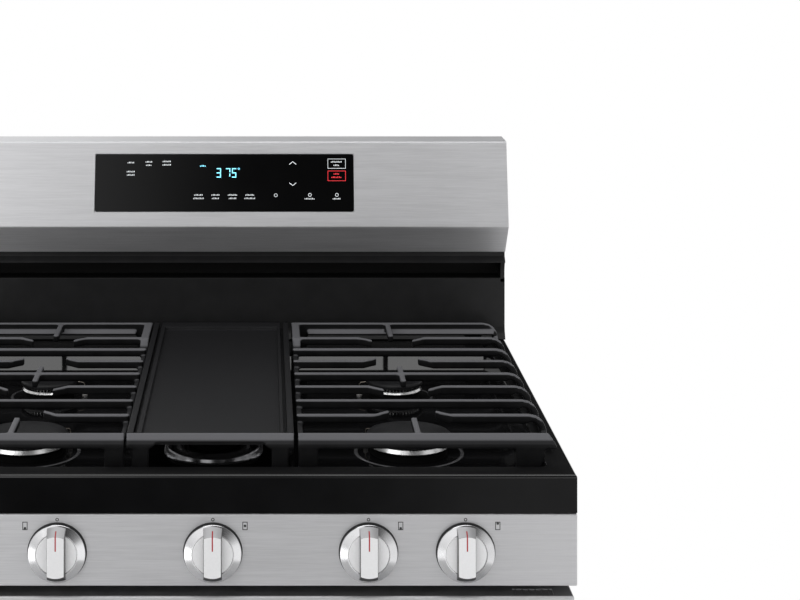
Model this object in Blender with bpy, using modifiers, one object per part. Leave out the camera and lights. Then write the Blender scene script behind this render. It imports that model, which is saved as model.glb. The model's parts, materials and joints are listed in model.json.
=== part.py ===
"""A 30 inch freestanding gas range, at real size in metres.

+Z is up and the front faces -Y. The origin is on the floor, at the middle of the range's box.
Two heights and depths recur: RIM is the top of the cooktop's rim, and FRONT is the plane of the
control panel, the oven door and the drawer. Most parts are placed from those two.
"""

import math

import bmesh
import bpy
from mathutils import Matrix, Vector

# Driving dimensions.
WIDTH = 0.759
RIM = 0.914
HEIGHT = 1.184
BODY_DEPTH = 0.640
HANDLE_REACH = 0.056

FRONT = HANDLE_REACH - (BODY_DEPTH + HANDLE_REACH) / 2
BACK = FRONT + BODY_DEPTH
HALF = WIDTH / 2

GAP = 0.0003
SHEET = 0.0012
PAN_SHEET = 0.0015

# Cooktop.
APRON_BOTTOM = RIM - 0.040
PAN_DEPTH = 0.638
WELL_FLOOR = RIM - 0.032
WELL_HALF = 0.3515
WELL_FRONT = FRONT + 0.028
WELL_BACK = FRONT + 0.583
FLOOR_HALF = 0.345
FLOOR_FRONT = FRONT + 0.036
FLOOR_BACK = FRONT + 0.540

# Burners: place, head radius. The center one is an oval along Y.
BURNER_X = 0.218
FRONT_BURNER_Y = FRONT + 0.183
REAR_BURNER_Y = FRONT + 0.418
ROUND_BURNERS = {
    "left_front": (-BURNER_X, FRONT_BURNER_Y, 0.047),
    "left_rear": (-BURNER_X, REAR_BURNER_Y, 0.0335),
    "right_front": (BURNER_X, FRONT_BURNER_Y, 0.047),
    "right_rear": (BURNER_X, REAR_BURNER_Y, 0.0335),
}
CENTER_X = -0.0043
OVAL_Y = FRONT + 0.300
OVAL_HALF_WIDTH = 0.031
OVAL_HALF_LENGTH = 0.115
SPIGOT_RADIUS = 0.018
HEAD_BOTTOM = WELL_FLOOR + 0.0003
HEAD_TOP = RIM - 0.0150
CAP_TOP = RIM - 0.0080

# Grates.
GRATE_TOP = RIM + 0.0288
RIB_WIDTH = 0.0075
RIB_DEPTH = 0.010
BAR_DEPTH = 0.016
RIB_PITCH = 0.0593
FRONT_BAR_Y = FRONT + 0.050
BACK_BAR_Y = FRONT + 0.5595
FIRST_RIB_Y = FRONT + 0.1225
FINGER_GAP = 0.0258
TIP_LENGTH = 0.016
TIP_SHIFT = 0.0145
LEFT_GRATE = (-0.0957, -0.366)
CENTER_GRATE = (-0.0940, 0.0854)
RIGHT_GRATE = (0.0894, 0.366)

# Control panel and knobs.
PANEL_TOP = RIM - 0.041
PANEL_BOTTOM = RIM - 0.116
PANEL_DEPTH = 0.030
KNOB_Z = RIM - 0.0805
KNOB_RADIUS = 0.030
KNOB_X = {
    "left_rear": -0.263,
    "left_front": -0.162,
    "center": 0.0,
    "right_front": 0.162,
    "right_rear": 0.263,
}
STEM_RADIUS = 0.004

# Oven door, drawer and the body behind them.
DOOR_TOP = RIM - 0.127
DOOR_BOTTOM = 0.245
DOOR_HALF = 0.3765
DOOR_DEPTH = 0.042
DOOR_AXIS = (FRONT + 0.016, 0.260)
HINGE_X = 0.335
DRAWER_TOP = 0.236
DRAWER_BOTTOM = 0.066
FRAME_Y = FRONT + 0.050
FRAME_DEPTH = 0.0025
CAVITY_HALF = 0.311
CAVITY_BOTTOM = 0.275
CAVITY_TOP = 0.745
CAVITY_FRONT = FRAME_Y + FRAME_DEPTH + 0.0005
CAVITY_BACK = FRONT + 0.545
GUIDE_TOPS = [0.340 + 0.080 * level for level in range(5)]
GUIDE_REACH = 0.0145

# Backguard: the cover's outline, seen from its end, as (y, z).
NOSE = (FRONT + 0.548, RIM + 0.159)
COVER_BOTTOM = RIM + 0.119
COVER_TOP_FRONT = (FRONT + 0.574, HEIGHT)
COVER_BACK = FRONT + 0.627
BACKGUARD_FACE = FRONT + 0.592

PARTS = None
CUTTERS = None


def clear_scene():
    for obj in list(bpy.data.objects):
        bpy.data.objects.remove(obj, do_unlink=True)


def collection(name, parent):
    made = bpy.data.collections.new(name)
    parent.children.link(made)
    return made


def material(name, color, roughness, metallic=0.0, alpha=1.0):
    made = bpy.data.materials.new(name)
    made.use_nodes = True
    shader = made.node_tree.nodes["Principled BSDF"]
    shader.inputs["Base Color"].default_value = (*color, 1.0)
    shader.inputs["Roughness"].default_value = roughness
    shader.inputs["Metallic"].default_value = metallic
    shader.inputs["Alpha"].default_value = alpha
    return made


def add(name, data, finish=None, place=None):
    """Links a new object to the range's collection."""
    obj = bpy.data.objects.new(name, data)
    if place is not None:
        obj.matrix_world = place
    if finish is not None:
        data.materials.append(finish)
    PARTS.objects.link(obj)
    return obj


def moves_with(pivot_name, location, pieces):
    """Parents pieces to an empty on their joint's axis."""
    pivot = bpy.data.objects.new(pivot_name, None)
    pivot.location = location
    PARTS.objects.link(pivot)
    for piece in pieces:
        piece.parent = pivot
        piece.matrix_parent_inverse = Matrix.Translation(location).inverted()
    return pivot


def helper(obj, group):
    """Takes an object out of the range: it only cuts or joins another one."""
    for home in list(obj.users_collection):
        home.objects.unlink(obj)
    group.objects.link(obj)
    obj.hide_render = True
    obj.display_type = "WIRE"


def boolean(obj, operation, others):
    group = collection(f"{obj.name}_{operation.lower()}", CUTTERS)
    for other in others:
        helper(other, group)
    modifier = obj.modifiers.new(operation.lower(), "BOOLEAN")
    modifier.operation = operation
    modifier.operand_type = "COLLECTION"
    modifier.collection = group


# Basic solids.


def box(name, low, high, finish=None):
    """A box between two corners, with its origin at its centre."""
    low = Vector(low)
    high = Vector(high)
    mesh = bpy.data.meshes.new(name)
    shape = bmesh.new()
    bmesh.ops.create_cube(shape, size=1.0)
    bmesh.ops.scale(shape, vec=high - low, verts=shape.verts)
    shape.to_mesh(mesh)
    shape.free()
    return add(name, mesh, finish, Matrix.Translation((low + high) / 2))


def tray(name, low, high, open_side, finish, thickness=SHEET):
    """A sheet box with one open side, given as the direction that it opens to."""
    obj = box(name, low, high, finish)
    shape = bmesh.new()
    shape.from_mesh(obj.data)
    shape.normal_update()
    removed = [face for face in shape.faces if face.normal.dot(Vector(open_side)) > 0.5]
    bmesh.ops.delete(shape, geom=removed, context="FACES")
    shape.to_mesh(obj.data)
    shape.free()
    solidify = obj.modifiers.new("sheet", "SOLIDIFY")
    solidify.thickness = thickness
    solidify.offset = -1.0
    solidify.use_even_offset = True
    return obj


AXES = {
    "X": (Vector((1, 0, 0)), Matrix(((0, 0, 1, 0), (1, 0, 0, 0), (0, 1, 0, 0), (0, 0, 0, 1)))),
    "Y": (Vector((0, 1, 0)), Matrix(((1, 0, 0, 0), (0, 0, -1, 0), (0, 1, 0, 0), (0, 0, 0, 1)))),
    "Z": (Vector((0, 0, 1)), Matrix.Identity(4)),
}


def prism(name, outlines, axis, low, high, finish=None):
    """A flat outline, with holes, drawn out along an axis from low to high.

    Points are (y, z) for axis X, (x, z) for axis Y and (x, y) for axis Z.
    """
    curve = bpy.data.curves.new(name, "CURVE")
    curve.dimensions = "2D"
    curve.fill_mode = "BOTH"
    curve.extrude = (high - low) / 2
    for outline in outlines:
        spline = curve.splines.new("POLY")
        spline.points.add(len(outline) - 1)
        for point, (across, up) in zip(spline.points, outline):
            point.co = (across, up, 0.0, 1.0)
        spline.use_cyclic_u = True
    direction, turn = AXES[axis]
    place = Matrix.Translation(direction * (low + high) / 2) @ turn
    return meshed(name, curve, place, finish)


def meshed(name, curve, place, finish):
    """Makes a mesh object of a curve, with its caps welded on."""
    guide = bpy.data.objects.new(name, curve)
    bpy.context.scene.collection.objects.link(guide)
    graph = bpy.context.evaluated_depsgraph_get()
    mesh = bpy.data.meshes.new_from_object(guide.evaluated_get(graph))
    bpy.data.objects.remove(guide)
    bpy.data.curves.remove(curve)
    shape = bmesh.new()
    shape.from_mesh(mesh)
    bmesh.ops.remove_doubles(shape, verts=shape.verts, dist=0.00001)
    bmesh.ops.recalc_face_normals(shape, faces=shape.faces)
    shape.to_mesh(mesh)
    shape.free()
    mesh.materials.clear()
    return add(name, mesh, finish, place)


def turned(name, profile, finish, center, faces_front=False, steps=24):
    """A solid of revolution. Its profile is (radius, height), from the top axis point down and round.

    Its axis is +Z or, on a piece that faces the user, -Y.
    """
    mesh = bpy.data.meshes.new(name)
    points = [(radius, 0.0, height) for radius, height in profile]
    edges = [(index, index + 1) for index in range(len(points) - 1)]
    mesh.from_pydata(points, edges, [])
    turn = Matrix.Rotation(math.pi / 2, 4, "X") if faces_front else Matrix.Identity(4)
    obj = add(name, mesh, finish, Matrix.Translation(center) @ turn)
    screw = obj.modifiers.new("turn", "SCREW")
    screw.steps = steps
    screw.render_steps = steps
    screw.use_merge_vertices = True
    screw.merge_threshold = 0.0001
    return obj


def cylinder(name, center, radius, length, axis, sides=16, finish=None):
    mesh = bpy.data.meshes.new(name)
    shape = bmesh.new()
    bmesh.ops.create_cone(
        shape, cap_ends=True, segments=sides, radius1=radius, radius2=radius, depth=length
    )
    shape.to_mesh(mesh)
    shape.free()
    return add(name, mesh, finish, Matrix.Translation(center) @ AXES[axis][1])


def tube(name, points, radius, finish, closed=False):
    curve = bpy.data.curves.new(name, "CURVE")
    curve.dimensions = "3D"
    curve.bevel_depth = radius
    curve.bevel_resolution = 1
    curve.use_fill_caps = not closed
    spline = curve.splines.new("POLY")
    spline.points.add(len(points) - 1)
    for point, place in zip(spline.points, points):
        point.co = (*place, 1.0)
    spline.use_cyclic_u = closed
    return add(name, curve, finish)


# Outlines.


def arc(center, radius, start, end, steps):
    """Points on an arc, its angles in degrees."""
    points = []
    for step in range(steps + 1):
        angle = math.radians(start + (end - start) * step / steps)
        points.append(
            (center[0] + radius * math.cos(angle), center[1] + radius * math.sin(angle))
        )
    return points


def circle(center, radius, sides=16):
    return arc(center, radius, 0.0, 360.0, sides)[:-1]


def rectangle(low, high):
    return [(low[0], low[1]), (high[0], low[1]), (high[0], high[1]), (low[0], high[1])]


def rounded(low, high, radius, steps=4):
    """A rectangle with round corners, or a slot when the radius is half of its width."""
    corners = [
        ((high[0] - radius, high[1] - radius), 0.0),
        ((low[0] + radius, high[1] - radius), 90.0),
        ((low[0] + radius, low[1] + radius), 180.0),
        ((high[0] - radius, low[1] + radius), 270.0),
    ]
    points = []
    for center, start in corners:
        points += arc(center, radius, start, start + 90.0, steps)
    return points


# Cabinet.


def cabinet(finish):
    leg_places = {
        "front_left": (-0.335, FRONT + 0.085),
        "front_right": (0.335, FRONT + 0.085),
        "rear_left": (-0.335, BACK - 0.040),
        "rear_right": (0.335, BACK - 0.040),
    }
    base_bottom = 0.030
    rail = 0.050
    outer = ((-0.370, FRONT + 0.058), (0.370, BACK - 0.012))
    inner = ((outer[0][0] + rail, outer[0][1] + rail), (outer[1][0] - rail, outer[1][1] - rail))
    stem_holes = [circle(place, 0.0056, 12) for place in leg_places.values()]
    outlines = [rectangle(*outer), rectangle(*inner), *stem_holes]
    prism("base_frame", outlines, "Z", base_bottom, 0.055, finish["steel"])
    leg_profile = [
        (0.0, 0.052),
        (0.005, 0.052),
        (0.005, base_bottom - GAP),
        (0.010, base_bottom - GAP),
        (0.010, 0.021),
        (0.005, 0.021),
        (0.005, 0.010),
        (0.019, 0.006),
        (0.019, 0.0),
        (0.0, 0.0),
    ]
    for place, (x, y) in leg_places.items():
        turned(f"leveling_leg_{place}", leg_profile, finish["plastic"], (x, y, 0.0), steps=12)
    for side, sign in (("left", -1), ("right", 1)):
        side_panel(side, sign, finish)
    rear_panel(finish)


def side_panel(side, sign, finish):
    """A sheet with its front and rear edges folded in, seen from above."""
    outside = 0.3775
    flange = outside - 0.020
    low = FRAME_Y + 0.0003
    high = BACK - 0.0020
    fold = [
        (outside, low),
        (outside, high),
        (flange, high),
        (flange, high - SHEET),
        (outside - SHEET, high - SHEET),
        (outside - SHEET, low + SHEET),
        (flange, low + SHEET),
        (flange, low),
    ]
    outline = [(sign * x, y) for x, y in fold]
    top = APRON_BOTTOM - GAP
    prism(f"side_panel_{side}", [outline], "Z", 0.0555, top, finish["dark_steel"])


def rear_panel(finish):
    """The back sheet, with rows of vent slots and the opening for the gas inlet."""
    slots = []
    for row in range(4):
        for column in (-1, 0, 1):
            x = 0.150 * column
            z = 0.640 + 0.030 * row
            slots.append(rounded((x - 0.050, z - 0.004), (x + 0.050, z + 0.004), 0.0039, 2))
    inlet = rounded((0.235, 0.075), (0.325, 0.165), 0.012, 2)
    outlines = [rectangle((-0.3765, 0.060), (0.3765, RIM + 0.116)), *slots, inlet]
    prism("rear_panel", outlines, "Y", BACK - SHEET, BACK, finish["zinc"])


def front_frame(finish):
    """The frame that the oven door and the drawer close against."""
    openings = [
        rounded((-CAVITY_HALF, CAVITY_BOTTOM), (CAVITY_HALF, CAVITY_TOP), 0.015, 3),
        rectangle((-0.345, 0.072), (0.345, 0.228)),
    ]
    for sign in (-1, 1):
        x = sign * HINGE_X
        openings.append(rectangle((x - 0.007, 0.250), (x + 0.007, 0.272)))
    outlines = [rectangle((-0.3765, 0.060), (0.3765, DOOR_TOP + 0.008)), *openings]
    prism("front_frame", outlines, "Y", FRAME_Y - FRAME_DEPTH, FRAME_Y, finish["enamel"])


def oven(finish):
    low = (-CAVITY_HALF - PAN_SHEET, CAVITY_FRONT, CAVITY_BOTTOM - PAN_SHEET)
    high = (CAVITY_HALF + PAN_SHEET, CAVITY_BACK, CAVITY_TOP + PAN_SHEET)
    cavity = tray("oven_cavity", low, high, (0, -1, 0), finish["grey_enamel"], PAN_SHEET)
    guides = []
    for number, top in enumerate(GUIDE_TOPS):
        for side, sign in (("left", -1), ("right", 1)):
            near = sign * (CAVITY_HALF - GUIDE_REACH)
            far = sign * (CAVITY_HALF + PAN_SHEET / 2)
            guides.append(
                box(
                    f"guide_{side}_{number}",
                    (min(near, far), CAVITY_FRONT + 0.020, top - 0.004),
                    (max(near, far), CAVITY_BACK - 0.020, top),
                )
            )
    boolean(cavity, "UNION", guides)
    broil_z = CAVITY_TOP - 0.026
    holes = [
        cylinder("broil_hole", (0.0, CAVITY_BACK, broil_z), 0.0105, 0.02, "Y"),
        cylinder("light_hole", (-0.22, CAVITY_BACK, 0.685), 0.0165, 0.02, "Y"),
    ]
    for sign in (-1, 1):
        for row in range(3):
            x = sign * 0.255
            y = CAVITY_FRONT + 0.120 + 0.120 * row
            holes.append(
                box(
                    f"floor_slot_{sign}_{row}",
                    (x - 0.006, y - 0.040, CAVITY_BOTTOM - 0.01),
                    (x + 0.006, y + 0.040, CAVITY_BOTTOM + 0.01),
                )
            )
    boolean(cavity, "DIFFERENCE", holes)
    oven_burner("broil_burner", broil_z, CAVITY_BACK + 0.030, finish)
    oven_burner("bake_burner", CAVITY_BOTTOM - 0.018, CAVITY_BACK + 0.030, finish)
    lens = [
        (0.0, 0.026),
        (0.014, 0.023),
        (0.022, 0.014),
        (0.024, 0.0022),
        (0.016, 0.0022),
        (0.016, -0.020),
        (0.0, -0.020),
    ]
    turned("oven_light", lens, finish["lens"], (-0.22, CAVITY_BACK, 0.685), True, 16)
    ring_low = (-CAVITY_HALF - 0.008, CAVITY_BOTTOM - 0.005)
    ring_high = (CAVITY_HALF + 0.008, CAVITY_TOP + 0.008)
    ring = rounded(ring_low, ring_high, 0.020, 3)
    middle_y = (FRONT + DOOR_DEPTH + 0.0023 + FRAME_Y - FRAME_DEPTH) / 2
    gasket = [(x, middle_y, z) for x, z in ring]
    tube("door_gasket", gasket, 0.0012, finish["rope"], closed=True)


def oven_burner(name, height, inlet_y, finish):
    """A U-shaped gas tube with its inlet at the back."""
    half = 0.110
    near = CAVITY_FRONT + 0.110
    far = CAVITY_BACK - 0.060
    route = [(0.0, inlet_y, height), (0.0, far, height), (-half, far, height)]
    route += [(-half, near, height), (half, near, height), (half, far - 0.035, height)]
    tube(name, route, 0.009, finish["steel"])


def racks(finish):
    """Two racks, each a flat grid on one pair of guides."""
    half = 0.3045
    near = FRONT + 0.095
    far = CAVITY_BACK - 0.012
    wires = 15
    wire = 0.0045
    pitch = (2 * half - wire) / wires
    for name, level in (("oven_rack_lower", 1), ("oven_rack_upper", 3)):
        bottom = GUIDE_TOPS[level] + GAP
        outlines = [rectangle((-half, near), (half, far))]
        for number in range(wires):
            left = -half + wire + pitch * number
            outlines.append(
                rectangle((left, near + wire), (left + pitch - wire, far - wire))
            )
        rack = prism(name, outlines, "Z", bottom, bottom + 0.0055, finish["chrome"])
        moves_with(f"{name}_slide", (0.0, near, bottom), [rack])


# Oven door and drawer.


def door(finish):
    low = (-DOOR_HALF, FRONT, DOOR_BOTTOM)
    high = (DOOR_HALF, FRONT + DOOR_DEPTH, DOOR_TOP)
    skin = tray("door_skin", low, high, (0, 1, 0), finish["stainless"])
    window = box("window_hole", (-0.262, FRONT - 0.01, 0.372), (0.262, FRONT + 0.01, 0.628))
    cuts = [window]
    for sign in (-1, 1):
        x = sign * 0.335
        cuts.append(
            box(
                f"top_vent_{sign}",
                (x - 0.021, FRONT + 0.006, DOOR_TOP - 0.01),
                (x + 0.021, FRONT + 0.022, DOOR_TOP + 0.01),
            )
        )
    notches = [hinge_notch(f"skin_notch_{sign}", sign) for sign in (-1, 1)]
    boolean(skin, "DIFFERENCE", cuts + notches)
    glass_y = FRONT + SHEET + GAP
    window = box(
        "door_window", (-0.280, glass_y, 0.352), (0.280, glass_y + 0.004, 0.648), finish["dark_glass"]
    )
    liner = door_liner(finish)
    pane_y = FRONT + DOOR_DEPTH - 0.0045
    pane = box(
        "door_inner_glass", (-0.240, pane_y, 0.385), (0.240, pane_y + 0.0040, 0.615), finish["glass"]
    )
    handle = door_handle(finish)
    pieces = [skin, window, liner, pane, handle]
    moves_with("door_axis", (0.0, *DOOR_AXIS), pieces)
    for side, sign in (("left", -1), ("right", 1)):
        hinge_arm(side, sign, finish)


def hinge_notch(name, sign):
    """The room that a hinge arm takes in the door as the door turns."""
    x = sign * HINGE_X
    return box(name, (x - 0.006, FRONT + 0.006, 0.240), (x + 0.006, FRONT + 0.060, 0.2725))


def door_liner(finish):
    """The enamelled inner sheet, with a window and two eyes on each side for the hinge pins."""
    low = FRONT + DOOR_DEPTH + GAP
    outline = rectangle((-DOOR_HALF + 0.004, 0.253), (DOOR_HALF - 0.004, DOOR_TOP - 0.006))
    window = rounded((-0.225, 0.400), (0.225, 0.600), 0.015, 3)
    liner = prism("door_liner", [outline, window], "Y", low, low + 0.002, finish["enamel"])
    eyes = []
    for sign in (-1, 1):
        for offset in (-0.010, 0.010):
            x = sign * HINGE_X + offset
            profile = arc(DOOR_AXIS, 0.0105, 180.0, 270.0, 4)
            profile += [(low + 0.001, DOOR_AXIS[1] - 0.0068), (low + 0.001, 0.285)]
            profile += [(DOOR_AXIS[0] - 0.0105, 0.285)]
            name = f"hinge_eye_{sign}_{offset}"
            eyes.append(prism(name, [profile], "X", x - 0.0015, x + 0.0015))
    boolean(liner, "UNION", eyes)
    pin_holes = []
    for sign in (-1, 1):
        center = (sign * HINGE_X, *DOOR_AXIS)
        pin_holes.append(cylinder(f"pin_hole_{sign}", center, 0.0044, 0.040, "X"))
        pin_holes.append(hinge_notch(f"liner_notch_{sign}", sign))
    boolean(liner, "DIFFERENCE", pin_holes)
    return liner


def hinge_arm(side, sign, finish):
    """A flat arm hooked into the front frame, with the pin that the door turns on."""
    y, z = DOOR_AXIS
    x = sign * HINGE_X
    outline = arc((y, z), 0.0085, 90.0, 270.0, 6)
    outline += [(FRAME_Y + 0.060, z - 0.0085), (FRAME_Y + 0.060, z + 0.0085)]
    arm = prism(f"hinge_arm_{side}", [outline], "X", x - 0.0035, x + 0.0035, finish["zinc"])
    pin = cylinder(f"hinge_pin_{side}", (x, y, z), 0.0040, 0.030, "X")
    boolean(arm, "UNION", [pin])


def door_handle(finish):
    radius = 0.011
    y = FRONT - HANDLE_REACH + radius
    z = DOOR_TOP - 0.052
    half = 0.335
    handle = cylinder("door_handle", (0.0, y, z), radius, 2 * half, "X", 16, finish["stainless"])
    posts = []
    for sign in (-1, 1):
        center = (sign * (half - 0.030), (y + FRONT - GAP) / 2, z)
        posts.append(cylinder(f"handle_post_{sign}", center, 0.009, FRONT - GAP - y, "Y", 12))
    boolean(handle, "UNION", posts)
    return handle


def drawer(finish):
    low = (-DOOR_HALF, FRONT, DRAWER_BOTTOM)
    high = (DOOR_HALF, FRONT + 0.020, DRAWER_TOP)
    face = tray("drawer_front", low, high, (0, 1, 0), finish["stainless"])
    grip_low = (-0.110, FRONT + 0.006, DRAWER_TOP - 0.010)
    grip_high = (0.110, FRONT + 0.030, DRAWER_TOP + 0.010)
    boolean(face, "DIFFERENCE", [box("grip_cut", grip_low, grip_high)])
    case_front = FRONT + 0.020 + GAP
    case = tray(
        "drawer_box",
        (-0.338, case_front, 0.078),
        (0.338, FRONT + 0.480, 0.205),
        (0, 0, 1),
        finish["zinc"],
    )
    moves_with("drawer_slide", (0.0, FRONT, DRAWER_BOTTOM), [face, case])
    for side, sign in (("left", -1), ("right", 1)):
        near = 0.3390
        far = 0.3750
        outline = [
            (near, 0.1060),
            (near, 0.1075),
            (far - 0.0015, 0.1075),
            (far - 0.0015, 0.1400),
            (far, 0.1400),
            (far, 0.1060),
        ]
        rail = [(sign * x, z) for x, z in outline]
        prism(f"drawer_rail_{side}", [rail], "Y", FRAME_Y + 0.004, BACK - 0.006, finish["zinc"])


# Cooktop.


def cooktop(finish):
    """A pan with a rim all round, an apron below it, and a well that slopes up at the back."""
    mesh = bpy.data.meshes.new("cooktop_pan")
    shape = bmesh.new()
    bmesh.ops.create_grid(shape, x_segments=1, y_segments=1, size=1.0)
    well = next(iter(shape.faces))
    place_ring(well, (-HALF, FRONT), (HALF, FRONT + PAN_DEPTH), RIM)
    bmesh.ops.inset_region(shape, faces=[well], thickness=0.020, use_boundary=True)
    place_ring(well, (-WELL_HALF, WELL_FRONT), (WELL_HALF, WELL_BACK), RIM)
    bmesh.ops.inset_region(shape, faces=[well], thickness=0.005)
    place_ring(well, (-FLOOR_HALF, FLOOR_FRONT), (FLOOR_HALF, FLOOR_BACK), WELL_FLOOR)
    outer_edges = [edge for edge in shape.edges if edge.is_boundary]
    apron = bmesh.ops.extrude_edge_only(shape, edges=outer_edges)["geom"]
    for item in apron:
        if isinstance(item, bmesh.types.BMVert):
            item.co.z = APRON_BOTTOM
    bmesh.ops.recalc_face_normals(shape, faces=shape.faces)
    if well.normal.z < 0:
        bmesh.ops.reverse_faces(shape, faces=shape.faces)
    shape.to_mesh(mesh)
    shape.free()
    pan = add("cooktop_pan", mesh, finish["black_enamel"])
    bevel = pan.modifiers.new("round", "BEVEL")
    bevel.width = 0.003
    bevel.segments = 2
    bevel.limit_method = "ANGLE"
    sheet = pan.modifiers.new("sheet", "SOLIDIFY")
    sheet.thickness = PAN_SHEET
    sheet.offset = -1.0
    sheet.use_even_offset = True
    holes = []
    for place, (x, y, _) in ROUND_BURNERS.items():
        center = (x, y, WELL_FLOOR)
        holes.append(cylinder(f"hole_{place}", center, SPIGOT_RADIUS + 0.001, 0.02, "Z"))
    oval = oval_outline(0.020 - OVAL_HALF_WIDTH)
    holes.append(prism("hole_center", [oval], "Z", WELL_FLOOR - 0.01, WELL_FLOOR + 0.01))
    boolean(pan, "DIFFERENCE", holes)


def place_ring(face, low, high, height):
    """Moves a face's four corners to a rectangle at a height."""
    middle = face.calc_center_median()
    for vert in face.verts:
        vert.co.x = high[0] if vert.co.x > middle.x else low[0]
        vert.co.y = high[1] if vert.co.y > middle.y else low[1]
        vert.co.z = height


def oval_outline(grow, steps=6):
    """The center burner's outline, grown or shrunk all round."""
    half_width = OVAL_HALF_WIDTH + grow
    half_length = OVAL_HALF_LENGTH + grow
    low = (CENTER_X - half_width, OVAL_Y - half_length)
    high = (CENTER_X + half_width, OVAL_Y + half_length)
    return rounded(low, high, half_width - 0.00005, steps)


def burners(finish):
    for place, (x, y, radius) in ROUND_BURNERS.items():
        head = [
            (0.0, HEAD_TOP),
            (radius, HEAD_TOP),
            (radius, HEAD_TOP - 0.004),
            (radius * 0.86, HEAD_BOTTOM + 0.003),
            (radius * 0.90, HEAD_BOTTOM),
            (SPIGOT_RADIUS, HEAD_BOTTOM),
            (SPIGOT_RADIUS, HEAD_BOTTOM - 0.020),
            (0.0, HEAD_BOTTOM - 0.020),
        ]
        turned(f"burner_head_{place}", head, finish["aluminium"], (x, y, 0.0))
        cap_bottom = HEAD_TOP + GAP
        cap_radius = radius + 0.0017
        cap = [
            (0.0, CAP_TOP),
            (cap_radius - 0.005, CAP_TOP - 0.0008),
            (cap_radius, CAP_TOP - 0.0030),
            (cap_radius, cap_bottom),
            (0.0, cap_bottom),
        ]
        piece = turned(f"burner_cap_{place}", cap, finish["cast_black"], (x, y, 0.0))
        moves_with(f"burner_cap_{place}_lift", (x, y, cap_bottom), [piece])
    head = prism(
        "burner_head_center", [oval_outline(0.0)], "Z", HEAD_BOTTOM, HEAD_TOP, finish["aluminium"]
    )
    spigot = oval_outline(0.019 - OVAL_HALF_WIDTH)
    boolean(head, "UNION", [prism("spigot", [spigot], "Z", HEAD_BOTTOM - 0.020, HEAD_TOP - 0.001)])
    cap = prism(
        "burner_cap_center",
        [oval_outline(0.0017)],
        "Z",
        HEAD_TOP + GAP,
        CAP_TOP,
        finish["cast_black"],
    )
    moves_with("burner_cap_center_lift", (CENTER_X, OVAL_Y, HEAD_TOP + GAP), [cap])


def hooked_bar(name, inner_x, outer_x, y, depth, width=RIB_WIDTH, finish=None):
    """A bar along X at the grate's top, whose outer end curves down to the side rail."""
    sign = 1 if outer_x > 0 else -1
    outside = abs(outer_x)
    bend = 0.020
    foot = 0.0075
    top = GRATE_TOP
    center = (outside - bend, top - bend)
    outline = [(sign * inner_x, top - depth), (sign * inner_x, top)]
    outline += arc(center, bend, 90.0, 0.0, 4)
    outline += [(outside, RIM + 0.004), (outside - foot, RIM + 0.004)]
    outline += arc(center, bend - foot, 0.0, 90.0, 3)
    outline += [(outside - bend, top - depth)]
    places = [(sign * x, z) for x, z in outline]
    return prism(name, [places], "Y", y - width / 2, y + width / 2, finish)


def side_grate(name, inner_x, outer_x, finish):
    sign = 1 if outer_x > 0 else -1
    bar_width = 0.0070
    low_top = GRATE_TOP - 0.0004
    grate = hooked_bar(name, inner_x, outer_x, FRONT_BAR_Y, BAR_DEPTH, bar_width, finish)
    pieces = [hooked_bar(f"{name}_back", inner_x, outer_x, BACK_BAR_Y, BAR_DEPTH, bar_width)]
    burner_x = sign * BURNER_X
    for row in range(7):
        y = FIRST_RIB_Y + RIB_PITCH * row
        if row in (1, 3, 5):
            pieces.append(hooked_bar(f"{name}_rib_{row}", inner_x, outer_x, y, RIB_DEPTH))
            continue
        shift = TIP_SHIFT if row in (0, 4) else -TIP_SHIFT
        for part, start, out in (("in", inner_x, -sign), ("out", outer_x, sign)):
            tip = burner_x + out * FINGER_GAP
            bend = tip + out * TIP_LENGTH
            end = start if part == "in" else bend + out * 0.02
            crank = finger_outline(end, bend, tip, y, shift)
            top = low_top if part == "out" else GRATE_TOP - 0.0001
            label = f"{name}_finger_{part}_{row}"
            pieces.append(prism(label, [crank], "Z", GRATE_TOP - RIB_DEPTH + 0.0004, top))
            if part == "out":
                pieces.append(hooked_bar(f"{name}_arm_{row}", bend, outer_x, y, RIB_DEPTH))
    for label, start, end in (("near", 0.048, 0.112), ("mid", 0.266, 0.335), ("far", 0.490, 0.561)):
        low = (burner_x - 0.0033, FRONT + start, GRATE_TOP - RIB_DEPTH + 0.0008)
        high = (burner_x + 0.0033, FRONT + end, GRATE_TOP - 0.0006)
        pieces.append(box(f"{name}_{label}", low, high))
    pieces += rails_and_legs(name, inner_x, outer_x, sign)
    boolean(grate, "UNION", pieces)
    moves_with(f"{name}_lift", (burner_x, (FRONT_BAR_Y + BACK_BAR_Y) / 2, RIM), [grate])


def finger_outline(start, bend, tip, y, shift):
    """A finger seen from above. Its tip is cranked towards the burner."""
    half = RIB_WIDTH / 2
    return [
        (start, y - half),
        (bend, y - half),
        (tip, y - half + shift),
        (tip, y + half + shift),
        (bend, y + half),
        (start, y + half),
    ]


def rails_and_legs(name, inner_x, outer_x, sign):
    """The side rails under the ribs' ends, and the four legs that stand in the well."""
    near = FRONT_BAR_Y - 0.003
    far = BACK_BAR_Y + 0.003
    pieces = []
    rails = (
        ("inner", inner_x + sign * 0.0002, inner_x + sign * 0.0062, 0.0095, 0.0200),
        ("outer", outer_x - sign * 0.0070, outer_x - sign * 0.0003, 0.0025, 0.0100),
    )
    for label, start, end, bottom, top in rails:
        low = (min(start, end), near, RIM + bottom)
        high = (max(start, end), far, RIM + top)
        pieces.append(box(f"{name}_rail_{label}", low, high))
    legs = ((inner_x + sign * 0.0005, inner_x + sign * 0.0215), (sign * 0.322, sign * 0.343))
    for number, (start, end) in enumerate(legs):
        for label, y, foot in (("near", FRONT_BAR_Y, -0.0315), ("far", BACK_BAR_Y, -0.0140)):
            low = (min(start, end), y - 0.0031, RIM + foot)
            high = (max(start, end), y + 0.0031, RIM + 0.0180)
            pieces.append(box(f"{name}_leg_{number}_{label}", low, high))
    return pieces


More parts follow.
